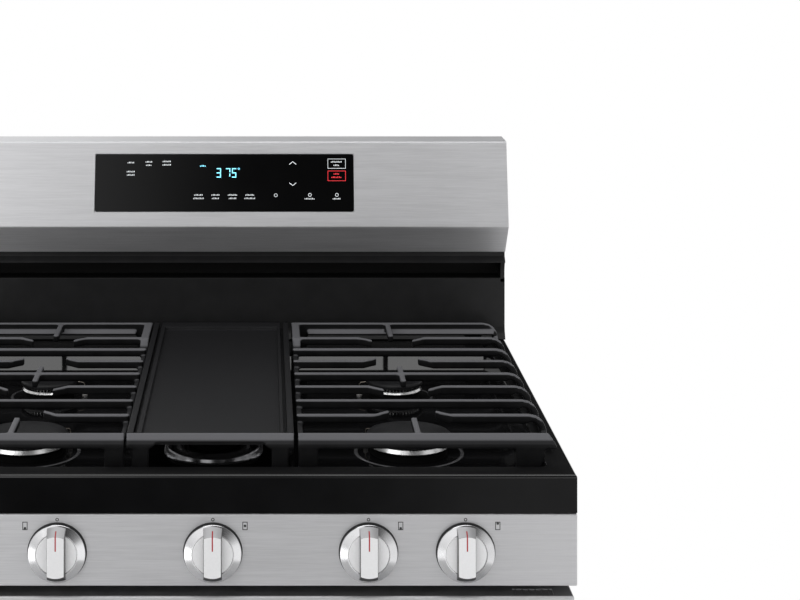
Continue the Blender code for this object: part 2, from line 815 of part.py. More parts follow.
def center_grate(finish):
    """A lower frame that the griddle lies in. Its front bar is arched over the center burner."""
    left, right = CENTER_GRATE
    bottom = GRATE_TOP - BAR_DEPTH
    arch = GRATE_TOP - 0.0085
    outline = [
        (left, bottom),
        (left + 0.0265, bottom),
        (left + 0.0350, arch),
        (right - 0.0360, arch),
        (right - 0.0270, bottom),
        (right, bottom),
        (right, GRATE_TOP),
        (left, GRATE_TOP),
    ]
    half = 0.0035
    grate = prism(
        "grate_center", [outline], "Y", FRONT_BAR_Y - half, FRONT_BAR_Y + half, finish["cast_black"]
    )
    shelf = RIM + 0.0150
    pieces = [
        box(
            "center_back",
            (left + 0.0002, BACK_BAR_Y - 0.006, RIM + 0.0045),
            (right - 0.0002, BACK_BAR_Y + half, shelf),
        )
    ]
    for label, x in (("left", left + 0.0004), ("right", right - 0.0074)):
        low = (x, FRONT_BAR_Y, RIM + 0.0050)
        high = (x + 0.0070, BACK_BAR_Y, shelf - 0.0003)
        pieces.append(box(f"center_rail_{label}", low, high))
    for row in (1, 3, 5):
        y = FIRST_RIB_Y + RIB_PITCH * row
        low = (left + 0.001, y - RIB_WIDTH / 2, RIM + 0.0060)
        high = (right - 0.001, y + RIB_WIDTH / 2, shelf - 0.0006)
        pieces.append(box(f"center_rib_{row}", low, high))
    legs = ((left + 0.006, left + 0.024), (right - 0.024, right - 0.006))
    for number, (start, end) in enumerate(legs):
        for label, y, foot, top in (
            ("near", FRONT_BAR_Y, -0.0315, 0.0180),
            ("far", BACK_BAR_Y, -0.0140, 0.0100),
        ):
            low = (start, y - 0.0031, RIM + foot)
            high = (end, y + 0.0031, RIM + top)
            pieces.append(box(f"center_leg_{number}_{label}", low, high))
    boolean(grate, "UNION", pieces)
    middle = (CENTER_X, (FRONT_BAR_Y + BACK_BAR_Y) / 2, RIM)
    moves_with("grate_center_lift", middle, [grate])
    griddle(shelf, middle, finish)


def griddle(shelf, middle, finish):
    """A flat plate with a raised rim at the sides and the back, open at the front."""
    left, right = CENTER_GRATE
    near = FRONT_BAR_Y + 0.0038
    low = (left + 0.0002, near, shelf + GAP)
    high = (right - 0.0002, BACK_BAR_Y + 0.0035, GRATE_TOP - 0.0002)
    plate = box("griddle", low, high, finish["cast_grey"])
    top_cut = box(
        "griddle_top",
        (left + 0.0190, near - 0.010, high[2] - 0.0045),
        (right - 0.0160, FRONT + 0.538, high[2] + 0.010),
    )
    under_cut = box(
        "griddle_under",
        (left + 0.012, near + 0.012, low[2] - 0.010),
        (right - 0.012, high[1] - 0.012, low[2] + 0.0035),
    )
    boolean(plate, "DIFFERENCE", [top_cut, under_cut])
    moves_with("griddle_lift", middle, [plate])


# Controls.


def controls(finish):
    low = (-HALF, FRONT, PANEL_BOTTOM)
    high = (HALF, FRONT + PANEL_DEPTH, PANEL_TOP)
    panel = tray("control_panel", low, high, (0, 1, 0), finish["stainless"])
    holes = []
    for place, x in KNOB_X.items():
        center = (x, FRONT, KNOB_Z)
        holes.append(cylinder(f"stem_hole_{place}", center, 0.0070, 0.010, "Y"))
    boolean(panel, "DIFFERENCE", holes)
    manifold(finish)
    for place, x in KNOB_X.items():
        stem_and_knob(place, x, finish)


def manifold(finish):
    """The gas pipe behind the panel, with a valve for each knob and a bracket at each end."""
    y = FRONT + 0.064
    pipe = cylinder("gas_manifold", (0.0, y, KNOB_Z), 0.0095, 0.660, "X", 16, finish["zinc"])
    blocks = []
    bores = []
    for place, x in KNOB_X.items():
        low = (x - 0.0115, FRONT + 0.022, KNOB_Z - 0.0115)
        high = (x + 0.0115, y + 0.001, KNOB_Z + 0.0115)
        blocks.append(box(f"valve_{place}", low, high))
        center = (x, FRONT + 0.025, KNOB_Z)
        bores.append(cylinder(f"valve_bore_{place}", center, STEM_RADIUS + 0.0004, 0.030, "Y"))
    for sign in (-1, 1):
        x = sign * 0.318
        low = (x - 0.009, y - 0.004, DOOR_TOP + 0.008 + GAP)
        high = (x + 0.009, y + 0.004, KNOB_Z)
        blocks.append(box(f"manifold_bracket_{sign}", low, high))
    boolean(pipe, "UNION", blocks)
    boolean(pipe, "DIFFERENCE", bores)


def stem_and_knob(place, x, finish):
    stem_front = 0.0100
    stem_back = 0.0340
    stem = [
        (0.0, stem_front),
        (STEM_RADIUS, stem_front),
        (STEM_RADIUS, -stem_back),
        (0.0, -stem_back),
    ]
    center = (x, FRONT, KNOB_Z)
    rod = turned(f"valve_stem_{place}", stem, finish["brass"], center, True, 12)
    clear = 0.0045
    disc_radius = 0.0212
    disc_front = 0.0090
    body = [
        (0.0, disc_front),
        (disc_radius, disc_front),
        (disc_radius + 0.0004, disc_front - 0.0005),
        (KNOB_RADIUS - 0.0005, clear + 0.0015),
        (KNOB_RADIUS, clear),
        (0.0, clear),
    ]
    knob = turned(f"knob_{place}", body, finish["satin"], center, True, 32)
    half_bar = 0.0095
    crown = 0.0182
    foot = clear + 0.0015
    crown_reach = 0.0216
    foot_reach = 0.0284
    side = [(-foot, foot_reach), (-crown, crown_reach), (-crown, -crown_reach), (-foot, -foot_reach)]
    outline = [(FRONT + y, KNOB_Z + z) for y, z in side]
    bar = prism(f"knob_bar_{place}", [outline], "X", x - half_bar, x + half_bar)
    boolean(knob, "UNION", [bar])
    bore_front = FRONT - stem_front - GAP
    bore_length = 0.012
    bore_middle = (x, bore_front + bore_length / 2, KNOB_Z)
    bore = cylinder(f"knob_bore_{place}", bore_middle, STEM_RADIUS + GAP, bore_length, "Y", 32)
    boolean(knob, "DIFFERENCE", [bore])
    moves_with(f"knob_{place}_axis", center, [rod, knob])


# Backguard.


def slope_point(along, out):
    """A point given by how far it is up the cover's sloping face and in front of it."""
    rise = Vector((COVER_TOP_FRONT[0] - NOSE[0], COVER_TOP_FRONT[1] - NOSE[1])).normalized()
    normal = Vector((-rise.y, rise.x))
    spot = Vector(NOSE) + rise * along + normal * out
    return (spot.x, spot.y)


def slope_outline(low, high, behind, ahead):
    """An upright rectangle laid on the sloping face, seen from its end."""
    return [
        slope_point(low, behind),
        slope_point(high, behind),
        slope_point(high, ahead),
        slope_point(low, ahead),
    ]


def backguard(finish):
    outside = [
        (BACKGUARD_FACE - 0.007, COVER_BOTTOM),
        NOSE,
        COVER_TOP_FRONT,
        (COVER_BACK, HEIGHT),
        (COVER_BACK, COVER_BOTTOM),
    ]
    cover = prism("backguard_cover", [outside], "X", -HALF, HALF, finish["stainless"])
    sheet = 0.0015
    inside = [
        (BACKGUARD_FACE - 0.0052, COVER_BOTTOM - 0.010),
        (BACKGUARD_FACE - 0.0052, COVER_BOTTOM),
        (NOSE[0] + 0.0018, NOSE[1] + 0.0003),
        (COVER_TOP_FRONT[0] + 0.0013, HEIGHT - sheet),
        (COVER_BACK - sheet, HEIGHT - sheet),
        (COVER_BACK - sheet, COVER_BOTTOM - 0.010),
    ]
    hollow = prism("cover_hollow", [inside], "X", sheet - HALF, HALF - sheet)
    glass_low = 0.0205
    glass_high = 0.0965
    glass_half = 0.1730
    window = slope_outline(glass_low - 0.0004, glass_high + 0.0004, -0.004, 0.004)
    opening = prism("glass_opening", [window], "X", -glass_half - 0.0004, glass_half + 0.0004)
    boolean(cover, "DIFFERENCE", [hollow, opening])
    pane = slope_outline(glass_low, glass_high, -0.0030, 0.0006)
    prism("display_glass", [pane], "X", -glass_half, glass_half, finish["dark_glass"])
    board = slope_outline(0.026, 0.091, -0.024, -0.012)
    prism("control_board", [board], "X", -0.150, 0.150, finish["plastic"])
    lower_panel(finish)


def lower_panel(finish):
    """The black lower part: a cove at its foot, and the oven's vent slot under a sloped lip."""
    face = BACKGUARD_FACE
    back = BACK - SHEET - GAP
    foot = RIM + GAP
    slot_bottom = RIM + 0.0825
    slot_top = RIM + 0.1050
    slot_back = face + 0.028
    top = COVER_BOTTOM - GAP
    outside = [
        (face - 0.0080, foot),
        (face - 0.0080, foot + 0.0010),
        (face, foot + 0.0120),
        (face, slot_bottom),
        (slot_back, slot_bottom),
        (slot_back, slot_top),
        (face - 0.0070, slot_top - 0.0010),
        (face - 0.0070, slot_top + 0.0005),
        (face, slot_top + 0.0070),
        (face, top),
        (back, top),
        (back, foot),
    ]
    panel = prism("backguard_panel", [outside], "X", -HALF, HALF, finish["black_enamel"])
    wall = 0.0020
    inside = [
        (face + wall, foot - 0.010),
        (face + wall, slot_bottom - wall),
        (slot_back + wall, slot_bottom - wall),
        (slot_back + wall, slot_top + wall),
        (face + wall, slot_top + wall),
        (face + wall, top - wall),
        (back + 0.010, top - wall),
        (back + 0.010, foot - 0.010),
    ]
    hollow = prism("panel_hollow", [inside], "X", wall - HALF, HALF - wall)
    boolean(panel, "DIFFERENCE", [hollow])


def gas_inlet(finish):
    """The pressure regulator, with its threaded inlet facing the back."""
    x, y, z = 0.280, BACK - 0.052, 0.120
    body = [
        (0.0, 0.030),
        (0.010, 0.030),
        (0.010, 0.022),
        (0.026, 0.020),
        (0.026, 0.008),
        (0.018, 0.006),
        (0.018, -0.020),
        (0.0, -0.020),
    ]
    regulator = turned("gas_regulator", body, finish["zinc"], (x, y, z), steps=16)
    nipple = cylinder("inlet_nipple", (x, y + 0.026, z - 0.007), 0.0105, 0.050, "Y", 12)
    boolean(regulator, "UNION", [nipple])


def finishes():
    return {
        "stainless": material("stainless", (0.62, 0.62, 0.63), 0.32, 1.0),
        "satin": material("satin_metal", (0.78, 0.78, 0.79), 0.25, 1.0),
        "steel": material("burner_steel", (0.30, 0.30, 0.30), 0.45, 1.0),
        "dark_steel": material("dark_painted_steel", (0.055, 0.056, 0.060), 0.45),
        "zinc": material("zinc_plated_steel", (0.52, 0.53, 0.55), 0.40, 1.0),
        "chrome": material("chrome_wire", (0.75, 0.75, 0.76), 0.18, 1.0),
        "aluminium": material("burner_aluminium", (0.70, 0.70, 0.70), 0.35, 1.0),
        "brass": material("brass", (0.70, 0.52, 0.25), 0.35, 1.0),
        "enamel": material("blue_grey_enamel", (0.040, 0.045, 0.055), 0.25),
        "grey_enamel": material("speckled_grey_enamel", (0.060, 0.066, 0.080), 0.30),
        "black_enamel": material("black_enamel", (0.010, 0.010, 0.011), 0.12),
        "cast_black": material("matte_black_cast_iron", (0.055, 0.055, 0.058), 0.55),
        "cast_grey": material("coated_griddle", (0.050, 0.050, 0.053), 0.42),
        "dark_glass": material("black_glass", (0.006, 0.006, 0.007), 0.06),
        "glass": material("clear_glass", (0.80, 0.82, 0.82), 0.05, 0.0, 0.35),
        "lens": material("lamp_glass", (0.85, 0.84, 0.78), 0.15, 0.0, 0.6),
        "plastic": material("black_plastic", (0.030, 0.030, 0.030), 0.50),
        "rope": material("woven_gasket", (0.22, 0.22, 0.21), 0.85),
    }


def main():
    global PARTS, CUTTERS
    clear_scene()
    scene_root = bpy.context.scene.collection
    PARTS = collection("gas_range", scene_root)
    CUTTERS = collection("cutters", scene_root)
    finish = finishes()
    cabinet(finish)
    front_frame(finish)
    oven(finish)
    racks(finish)
    door(finish)
    drawer(finish)
    cooktop(finish)
    burners(finish)
    side_grate("grate_left", *LEFT_GRATE, finish["cast_black"])
    side_grate("grate_right", *RIGHT_GRATE, finish["cast_black"])
    center_grate(finish)
    controls(finish)
    backguard(finish)
    gas_inlet(finish)
    for mesh in bpy.data.meshes:
        mesh.shade_smooth()
        mesh.set_sharp_from_angle(angle=math.radians(30.0))


main()
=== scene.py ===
"""The looks of a freestanding gas range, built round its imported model.

Every place is in metres in the model's own frame: X to the right, the front faces -Y, Z up, and the
floor is at Z = 0.
"""

import json
import math

import bmesh
import bpy
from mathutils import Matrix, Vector

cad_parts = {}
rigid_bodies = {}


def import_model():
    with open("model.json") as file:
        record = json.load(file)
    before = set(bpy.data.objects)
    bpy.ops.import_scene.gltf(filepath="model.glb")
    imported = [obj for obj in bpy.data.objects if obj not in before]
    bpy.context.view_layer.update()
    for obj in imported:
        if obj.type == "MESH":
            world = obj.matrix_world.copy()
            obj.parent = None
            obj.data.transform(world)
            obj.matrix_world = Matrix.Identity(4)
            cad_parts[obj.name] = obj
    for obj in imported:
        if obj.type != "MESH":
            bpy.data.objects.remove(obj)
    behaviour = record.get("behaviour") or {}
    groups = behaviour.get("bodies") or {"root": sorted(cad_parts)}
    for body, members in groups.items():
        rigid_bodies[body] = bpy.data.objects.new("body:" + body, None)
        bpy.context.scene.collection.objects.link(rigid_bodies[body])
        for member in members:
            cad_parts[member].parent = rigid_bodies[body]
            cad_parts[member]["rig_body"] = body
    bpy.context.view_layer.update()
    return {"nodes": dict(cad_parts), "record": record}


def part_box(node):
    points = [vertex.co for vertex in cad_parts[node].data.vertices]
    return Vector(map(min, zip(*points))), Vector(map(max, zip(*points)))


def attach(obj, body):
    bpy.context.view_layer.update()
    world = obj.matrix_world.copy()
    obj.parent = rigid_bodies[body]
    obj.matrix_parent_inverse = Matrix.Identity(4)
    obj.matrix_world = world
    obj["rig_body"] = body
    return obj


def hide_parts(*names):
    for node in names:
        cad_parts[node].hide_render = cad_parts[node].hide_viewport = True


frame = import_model()
nodes = frame["nodes"]

PAN_LOW, PAN_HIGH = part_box("cooktop_pan")
PANEL_LOW, PANEL_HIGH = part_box("control_panel")
COVER_LOW, COVER_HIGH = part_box("backguard_cover")
FRONT = PAN_LOW.y
RIM = PAN_HIGH.z
HALF = PAN_HIGH.x
PLACES = ("left_front", "left_rear", "right_front", "right_rear")


# Shading helpers.


def shader(name, color, roughness, metallic=0.0, **even):
    """A node material. Values that are the same all over sit on the shader's own sockets."""
    made = bpy.data.materials.new(name)
    made.use_nodes = True
    values = {"Base Color": (*color, 1.0), "Roughness": roughness, "Metallic": metallic, **even}
    principled = made.node_tree.nodes["Principled BSDF"]
    for key, value in values.items():
        principled.inputs[key.replace("_", " ")].default_value = value
    return made


def node(owner, kind, inputs=None, **settings):
    """Adds a shader node to a material or world. Each input is a value, or a socket to link."""
    new = owner.node_tree.nodes.new("ShaderNode" + kind)
    for key, value in settings.items():
        setattr(new, key, value)
    for key, value in (inputs or {}).items():
        if isinstance(value, bpy.types.NodeSocket):
            owner.node_tree.links.new(value, new.inputs[key])
        else:
            new.inputs[key].default_value = value
    return new


def feed(made, socket, name):
    principled = made.node_tree.nodes["Principled BSDF"]
    made.node_tree.links.new(socket, principled.inputs[name])


def stretched(made, scale):
    """The object's own coordinates, scaled along each axis."""
    place = node(made, "TexCoord").outputs["Object"]
    return node(made, "Mapping", {"Vector": place, "Scale": scale}).outputs["Vector"]


def noise(made, scale, detail=3.0, sharpness=0.55):
    """Noise over the object's own coordinates, scaled along each axis."""
    inputs = {"Vector": stretched(made, scale), "Scale": 1.0, "Detail": detail, "Roughness": sharpness}
    return node(made, "TexNoise", inputs).outputs["Fac"]


def voronoi(made, scale, **even):
    inputs = {"Vector": stretched(made, (scale,) * 3), "Scale": 1.0, **even}
    return node(made, "TexVoronoi", inputs).outputs


def part_of(made, axis, vector=None):
    """One part of a vector, or of the object's own coordinates."""
    vector = vector or stretched(made, (1.0,) * 3)
    return node(made, "SeparateXYZ", {"Vector": vector}).outputs[axis]


def facing_up(made):
    return part_of(made, "Z", node(made, "NewGeometry").outputs["Normal"])


def combine(made, operation, first, second):
    return node(made, "Math", {0: first, 1: second}, operation=operation).outputs[0]


def between(made, factor, low, high, start=0.3, end=0.7):
    """A number that runs from low to high as the factor runs from start to end."""
    inputs = {"Value": factor, "From Min": start, "From Max": end, "To Min": low, "To Max": high}
    return node(made, "MapRange", inputs).outputs["Result"]


def toned(color, share):
    """A colour made darker or lighter."""
    return tuple(min(1.0, value * share) for value in color)


def blend_colors(made, factor, low, high):
    """A colour from low to high. Either of them may be a socket."""
    low, high = (end if isinstance(end, bpy.types.NodeSocket) else (*end, 1.0) for end in (low, high))
    return node(made, "Mix", {"Factor": factor, 6: low, 7: high}, data_type="RGBA").outputs[2]


def bump(made, height, depth):
    """Raises the surface by up to depth, in metres."""
    return node(made, "Bump", {"Height": height, "Distance": depth, "Strength": 1.0}).outputs["Normal"]


def mottled(name, color, spread, roughness, scale, depth, metallic=0.0, **even):
    """A material whose colour, gloss and surface vary with one noise."""
    made = shader(name, color, sum(roughness) / 2, metallic, **even)
    factor = noise(made, (scale,) * 3)
    ends = toned(color, 1.0 - spread), toned(color, 1.0 + spread)
    feed(made, blend_colors(made, between(made, factor, 0.0, 1.0), *ends), "Base Color")
    feed(made, between(made, factor, *roughness), "Roughness")
    feed(made, bump(made, factor, depth), "Normal")
    return made


# Materials.


def brushed_steel(name, color, roughness):
    """Stainless sheet brushed along X, with faint broader bands. Highlights spread across the brushing."""
    made = shader(name, color, sum(roughness) / 2, 0.85, Anisotropic=0.85, Anisotropic_Rotation=0.25)
    hair = noise(made, (34.0, 1300.0, 1300.0), 2.0, 0.6)
    band = noise(made, (9.0, 260.0, 260.0), 3.0, 0.5)
    mixed = combine(made, "ADD", hair, band)
    spread = 0.75, 1.25
    tone = between(made, mixed, 0.0, 1.0, *spread)
    feed(made, blend_colors(made, tone, toned(color, 0.94), toned(color, 1.06)), "Base Color")
    feed(made, between(made, mixed, *roughness, *spread), "Roughness")
    feed(made, bump(made, hair, 0.0000015), "Normal")
    feed(made, node(made, "CombineXYZ", {"X": 1.0}).outputs[0], "Tangent")
    return made


def turned_metal(name, color, roughness):
    """Bright metal with the fine circular marks of a lathe round its axis, which is along Y."""
    made = shader(name, color, sum(roughness) / 2, 1.0, Anisotropic=0.5, Anisotropic_Rotation=0.25)
    marks = noise(made, (90.0,) * 3, 2.0, 0.6)
    feed(made, blend_colors(made, between(made, marks, 0.0, 1.0), toned(color, 0.96), color), "Base Color")
    feed(made, between(made, marks, *roughness), "Roughness")
    feed(made, node(made, "Tangent", direction_type="RADIAL", axis="Y").outputs[0], "Tangent")
    return made


def speckled(name, color, fleck, roughness, size, share):
    """Porcelain enamel with small light flecks."""
    made = mottled(name, color, 0.25, roughness, 60.0, 0.00008, Coat_Weight=0.4)
    distance = voronoi(made, 1.0 / size)["Distance"]
    dots = between(made, distance, 1.0, 0.0, share, share + 0.08)
    feed(made, blend_colors(made, dots, color, fleck), "Base Color")
    return made


def spangled(name, color, roughness):
    """Galvanised sheet with large flat crystals."""
    made = shader(name, color, sum(roughness) / 2, 1.0)
    tone = node(made, "SeparateColor", {"Color": voronoi(made, 90.0)["Color"]}).outputs[0]
    feed(made, blend_colors(made, tone, toned(color, 0.78), toned(color, 1.15)), "Base Color")
    feed(made, between(made, tone, *roughness, 0.0, 1.0), "Roughness")
    return made


def braided(name, color):
    """A woven glass-fibre rope."""
    made = shader(name, color, 0.9, 0.0, Sheen_Weight=0.3)
    inputs = {"Vector": stretched(made, (240.0,) * 3), "Scale": 1.0, "Distortion": 1.5}
    crossing = node(made, "TexWave", inputs).outputs["Fac"]
    feed(made, blend_colors(made, crossing, toned(color, 0.5), color), "Base Color")
    feed(made, bump(made, crossing, 0.0006), "Normal")
    return made


def window_glass(name, color, dot_color):
    """Dark oven glass, with a faint print of dots."""
    made = shader(name, color, 0.04, 0.0, Coat_Weight=0.6)
    smudge = noise(made, (9.0,) * 3, 4.0)
    feed(made, between(made, smudge, 0.03, 0.09), "Roughness")
    spot = between(made, voronoi(made, 330.0, Randomness=0.0)["Distance"], 1.0, 0.0, 0.3, 0.36)
    feed(made, blend_colors(made, spot, color, dot_color), "Base Color")
    return made


def glowing(name, color, strength):
    made = shader(name, color, 0.4, 0.0, Emission_Color=(*color, 1.0))
    grain = noise(made, (900.0,) * 3)
    feed(made, between(made, grain, strength * 0.85, strength * 1.1), "Emission Strength")
    return made


def enamel(name, color, ior):
    """Glossy black porcelain, with the slight waviness of a fired coat."""
    return mottled(name, color, 0.2, (0.06, 0.1), 30.0, 0.00001, IOR=ior)


def cooktop_enamel(name, color, ior):
    """The same porcelain, rubbed to a satin on the flat top edge round the pan's well."""
    made = enamel(name, color, ior)
    on_rim = part_of(made, "Z")
    flat = between(made, facing_up(made), 0.0, 1.0, 0.985, 0.998)
    rubbed = combine(made, "MULTIPLY", between(made, on_rim, 0.0, 1.0, RIM - 0.003, RIM - 0.001), flat)
    feed(made, between(made, rubbed, 0.07, 0.5, 0.0, 1.0), "Roughness")
    return made


def cast_iron(name, color, roughness, top_light_share, specular):
    """Enamelled iron: a fine cast grain over broader unevenness, with painted top light: lighter where it
    faces up.
    """
    made = shader(name, color, sum(roughness) / 2, 0.0, Specular_IOR_Level=specular)
    grain = noise(made, (1100.0,) * 3, 3.0, 0.65)
    patches = between(made, noise(made, (55.0,) * 3), 0.0, 1.0)
    base = blend_colors(made, patches, toned(color, 0.75), toned(color, 1.35))
    # Painted top light: faces that look up are lightened, most of all on the raised tops and at the back.
    raised = between(made, part_of(made, "Z"), 0.12, 1.0, RIM + 0.0205, RIM + 0.0225)
    at_back = between(made, part_of(made, "Y"), 0.0, 1.0, FRONT + 0.545, FRONT + 0.547)
    top_light_area = combine(made, "MAXIMUM", raised, at_back)
    upward = between(made, facing_up(made), 0.0, 1.0, 0.2, 0.38)
    painted_top_light = combine(made, "MULTIPLY", top_light_area, upward)
    feed(made, blend_colors(made, painted_top_light, base, toned(color, top_light_share)), "Base Color")
    feed(made, between(made, grain, *roughness), "Roughness")
    feed(made, bump(made, grain, 0.00001), "Normal")
    return made


BLACK = (0.004, 0.004, 0.0043)
TABLE = (
    (brushed_steel, "stainless", (0.72, 0.72, 0.735), (0.41, 0.48)),
    (turned_metal, "knob_metal", (0.62, 0.62, 0.63), (0.19, 0.23)),
    (mottled, "knob_satin", (0.9, 0.9, 0.91), 0.02, (0.34, 0.42), 400.0, 0.000001, 0.3),
    # Darker copies of knob_satin, as painted shade on the slopes and walls of a knob's bar.
    (mottled, "knob_slope", (0.46, 0.46, 0.47), 0.02, (0.34, 0.42), 400.0, 0.000001, 0.5),
    (mottled, "knob_wall", (0.075, 0.075, 0.078), 0.05, (0.3, 0.4), 400.0, 0.000001, 0.6),
    (mottled, "dark_painted_steel", (0.02, 0.02, 0.022), 0.15, (0.38, 0.52), 900.0, 0.00007),
    (spangled, "zinc_steel", (0.56, 0.57, 0.58), (0.34, 0.5)),
    (mottled, "burner_steel", (0.34, 0.3, 0.26), 0.25, (0.35, 0.55), 40.0, 0.00005, 1.0),
    (mottled, "chrome_wire", (0.66, 0.66, 0.67), 0.12, (0.12, 0.24), 30.0, 0.00003, 1.0),
    (mottled, "burner_aluminium", (0.95, 0.95, 0.95), 0.03, (0.22, 0.28), 120.0, 0.000002, 0.85),
    (mottled, "brass", (0.62, 0.44, 0.18), 0.12, (0.24, 0.4), 220.0, 0.00004, 1.0),
    (speckled, "oven_enamel", (0.014, 0.016, 0.02), (0.34, 0.36, 0.4), (0.16, 0.28), 0.0046, 0.1),
    (enamel, "black_enamel", BLACK, 1.2),
    (enamel, "edge_enamel", (0.006, 0.006, 0.0063), 1.55),
    (cooktop_enamel, "cooktop_enamel", BLACK, 1.2),
    (mottled, "bead_enamel", (0.13, 0.13, 0.135), 0.1, (0.22, 0.28), 60.0, 0.0, 0.6),
    (mottled, "dish_enamel", (0.25, 0.25, 0.26), 0.1, (0.14, 0.2), 60.0, 0.0, 0.8),
    (mottled, "door_edge", (0.15, 0.15, 0.152), 0.15, (0.35, 0.45), 60.0, 0.0, 0.3),
    # The number after the roughness is how much lighter faces that look up are painted: painted top light.
    (cast_iron, "cast_iron", (0.008, 0.008, 0.0085), (0.42, 0.5), 18.0, 0.12),
    (cast_iron, "cap_enamel", (0.01, 0.01, 0.011), (0.4, 0.52), 1.5, 0.25),
    (cast_iron, "griddle_coating", (0.013, 0.013, 0.014), (0.42, 0.5), 1.2, 0.15),
    (window_glass, "window_glass", (0.006, 0.006, 0.007), (0.016, 0.016, 0.018)),
    (mottled, "black_plastic", (0.018, 0.018, 0.019), 0.12, (0.42, 0.58), 1000.0, 0.00006),
    (braided, "gasket_rope", (0.2, 0.19, 0.18)),
    (mottled, "ceramic", (0.3, 0.29, 0.28), 0.06, (0.3, 0.45), 500.0, 0.00003),
    (mottled, "dark_print", (0.03, 0.03, 0.03), 0.15, (0.45, 0.6), 700.0, 0.0),
    (mottled, "red_print", (0.42, 0.012, 0.016), 0.08, (0.35, 0.45), 700.0, 0.0),
    (glowing, "cyan_glow", (0.25, 0.8, 1.0), 1.3),
    (glowing, "pale_glow", (0.75, 0.78, 0.8), 0.55),
    (glowing, "red_glow", (0.85, 0.04, 0.05), 0.75),
)
SPECIAL = (
    ("black_panel", {"IOR": 1.25}, (0.0185, 0.0185, 0.019), 0.1, (0.3, 0.38), 40.0, 0.0),
    # Near black, for painted shade in recesses and for a burner's dark base.
    ("soot", {"Specular_IOR_Level": 0.1}, (0.006, 0.006, 0.006), 0.2, (0.6, 0.7), 300.0, 0.0),
    ("black_glass", {"IOR": 1.33}, (0.0012, 0.0012, 0.0014), 0.3, (0.05, 0.09), 12.0, 0.0),
    ("clear_glass", {"Transmission_Weight": 0.95}, (0.8, 0.82, 0.82), 0.02, (0.03, 0.08), 10.0, 0.0),
    ("lamp_glass", {"Transmission_Weight": 0.6}, (0.9, 0.88, 0.8), 0.03, (0.2, 0.32), 90.0, 0.0),
)
FINISHES = {name: make(name, *values) for make, name, *values in TABLE}
FINISHES.update({name: mottled(name, *values, **even) for name, even, *values in SPECIAL})


# Mesh helpers.


def add_object(name, data):
    made = bpy.data.objects.new(name, data)
    bpy.context.scene.collection.objects.link(made)
    return made


def piece(name, shape, body, slot, finish=None, stands_for=(), smooth=35.0):
    """Adds a mesh or bmesh to a body. Faces meeting at less than the smooth angle shade as one."""
    mesh = shape if isinstance(shape, bpy.types.Mesh) else from_bmesh(name, shape)
    made = add_object(name, mesh)
    mesh.materials.append(FINISHES[finish or slot])
    if smooth:
        mesh.shade_smooth()
        mesh.set_sharp_from_angle(angle=math.radians(smooth))
    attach(made, body)
    if stands_for:
        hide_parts(*stands_for)
    return made


def from_bmesh(name, shape):
    mesh = bpy.data.meshes.new(name)
    bmesh.ops.recalc_face_normals(shape, faces=shape.faces)
    shape.to_mesh(mesh)
    shape.free()
    return mesh


def merge(shape, distance=0.000001):
    bmesh.ops.remove_doubles(shape, verts=shape.verts, dist=distance)


def modify(made, kind, **settings):
    """Adds a modifier with its settings."""
    new = made.modifiers.new(kind.lower(), kind)
    for key, value in settings.items():
        setattr(new, key, value)


def soften(made, width, segments=2, angle=30.0):
    """Rounds an object's sharp edges."""
    limit = {"limit_method": "ANGLE", "angle_limit": math.radians(angle)}
    modify(made, "BEVEL", width=width, segments=segments, harden_normals=True, **limit)


def repaint(made, finish, chosen):
    """Gives the faces that a test picks another finish."""
    materials = made.data.materials
    materials.append(FINISHES[finish])
    for face in made.data.polygons:
        if chosen(face):
            face.material_index = len(materials) - 1


def block(shape, low, high):
    """Adds a box to a bmesh."""
    made = bmesh.ops.create_cube(shape, size=1.0)["verts"]
    for vert in made:
        for axis in range(3):
            vert.co[axis] = high[axis] if vert.co[axis] > 0 else low[axis]
    return made


def outline_prism(shape, outline, axis, low, high):
    """Adds a prism of a flat outline to a bmesh. The outline holds the two other axes, in order."""
    corners = []
    for pair in outline:
        spot = list(pair)
        spot.insert(axis, low)
        corners.append(shape.verts.new(spot))
    grown = bmesh.ops.extrude_face_region(shape, geom=[shape.faces.new(corners)])["geom"]
    for item in grown:
        if isinstance(item, bmesh.types.BMVert):
            item.co[axis] = high


def fillet(outline, sizes, steps=5):
    """An outline with its corners rounded, each by its own size or left sharp by 0."""
    made = []
    for number, corner in enumerate(outline):
        here = Vector(corner)
        size = sizes[number]
        if not size:
            made.append(tuple(here))
            continue
        before = here + (Vector(outline[number - 1]) - here).normalized() * size
        after = here + (Vector(outline[(number + 1) % len(outline)]) - here).normalized() * size
        for step in range(steps + 1):
            t = step / steps
            made.append(tuple(before * (1 - t) ** 2 + here * 2 * t * (1 - t) + after * t**2))
    return made


def boolean(made, operation, tool, use_self=False):
    """Cuts or joins an object by a bmesh, and returns the helper object that the modifier needs."""
    helper = add_object("tool", from_bmesh("tool", tool))
    modify(made, "BOOLEAN", operation=operation, object=helper, use_self=use_self)
    return helper


def evaluated_mesh(made):
    graph = bpy.context.evaluated_depsgraph_get()
    return bpy.data.meshes.new_from_object(made.evaluated_get(graph))


def apply_modifiers(made, helpers=()):
    """Replaces an object's mesh by its evaluated one, and removes the objects that it used."""
    mesh = evaluated_mesh(made)
    made.modifiers.clear()
    made.data = mesh
    for helper in helpers:
        bpy.data.objects.remove(helper)


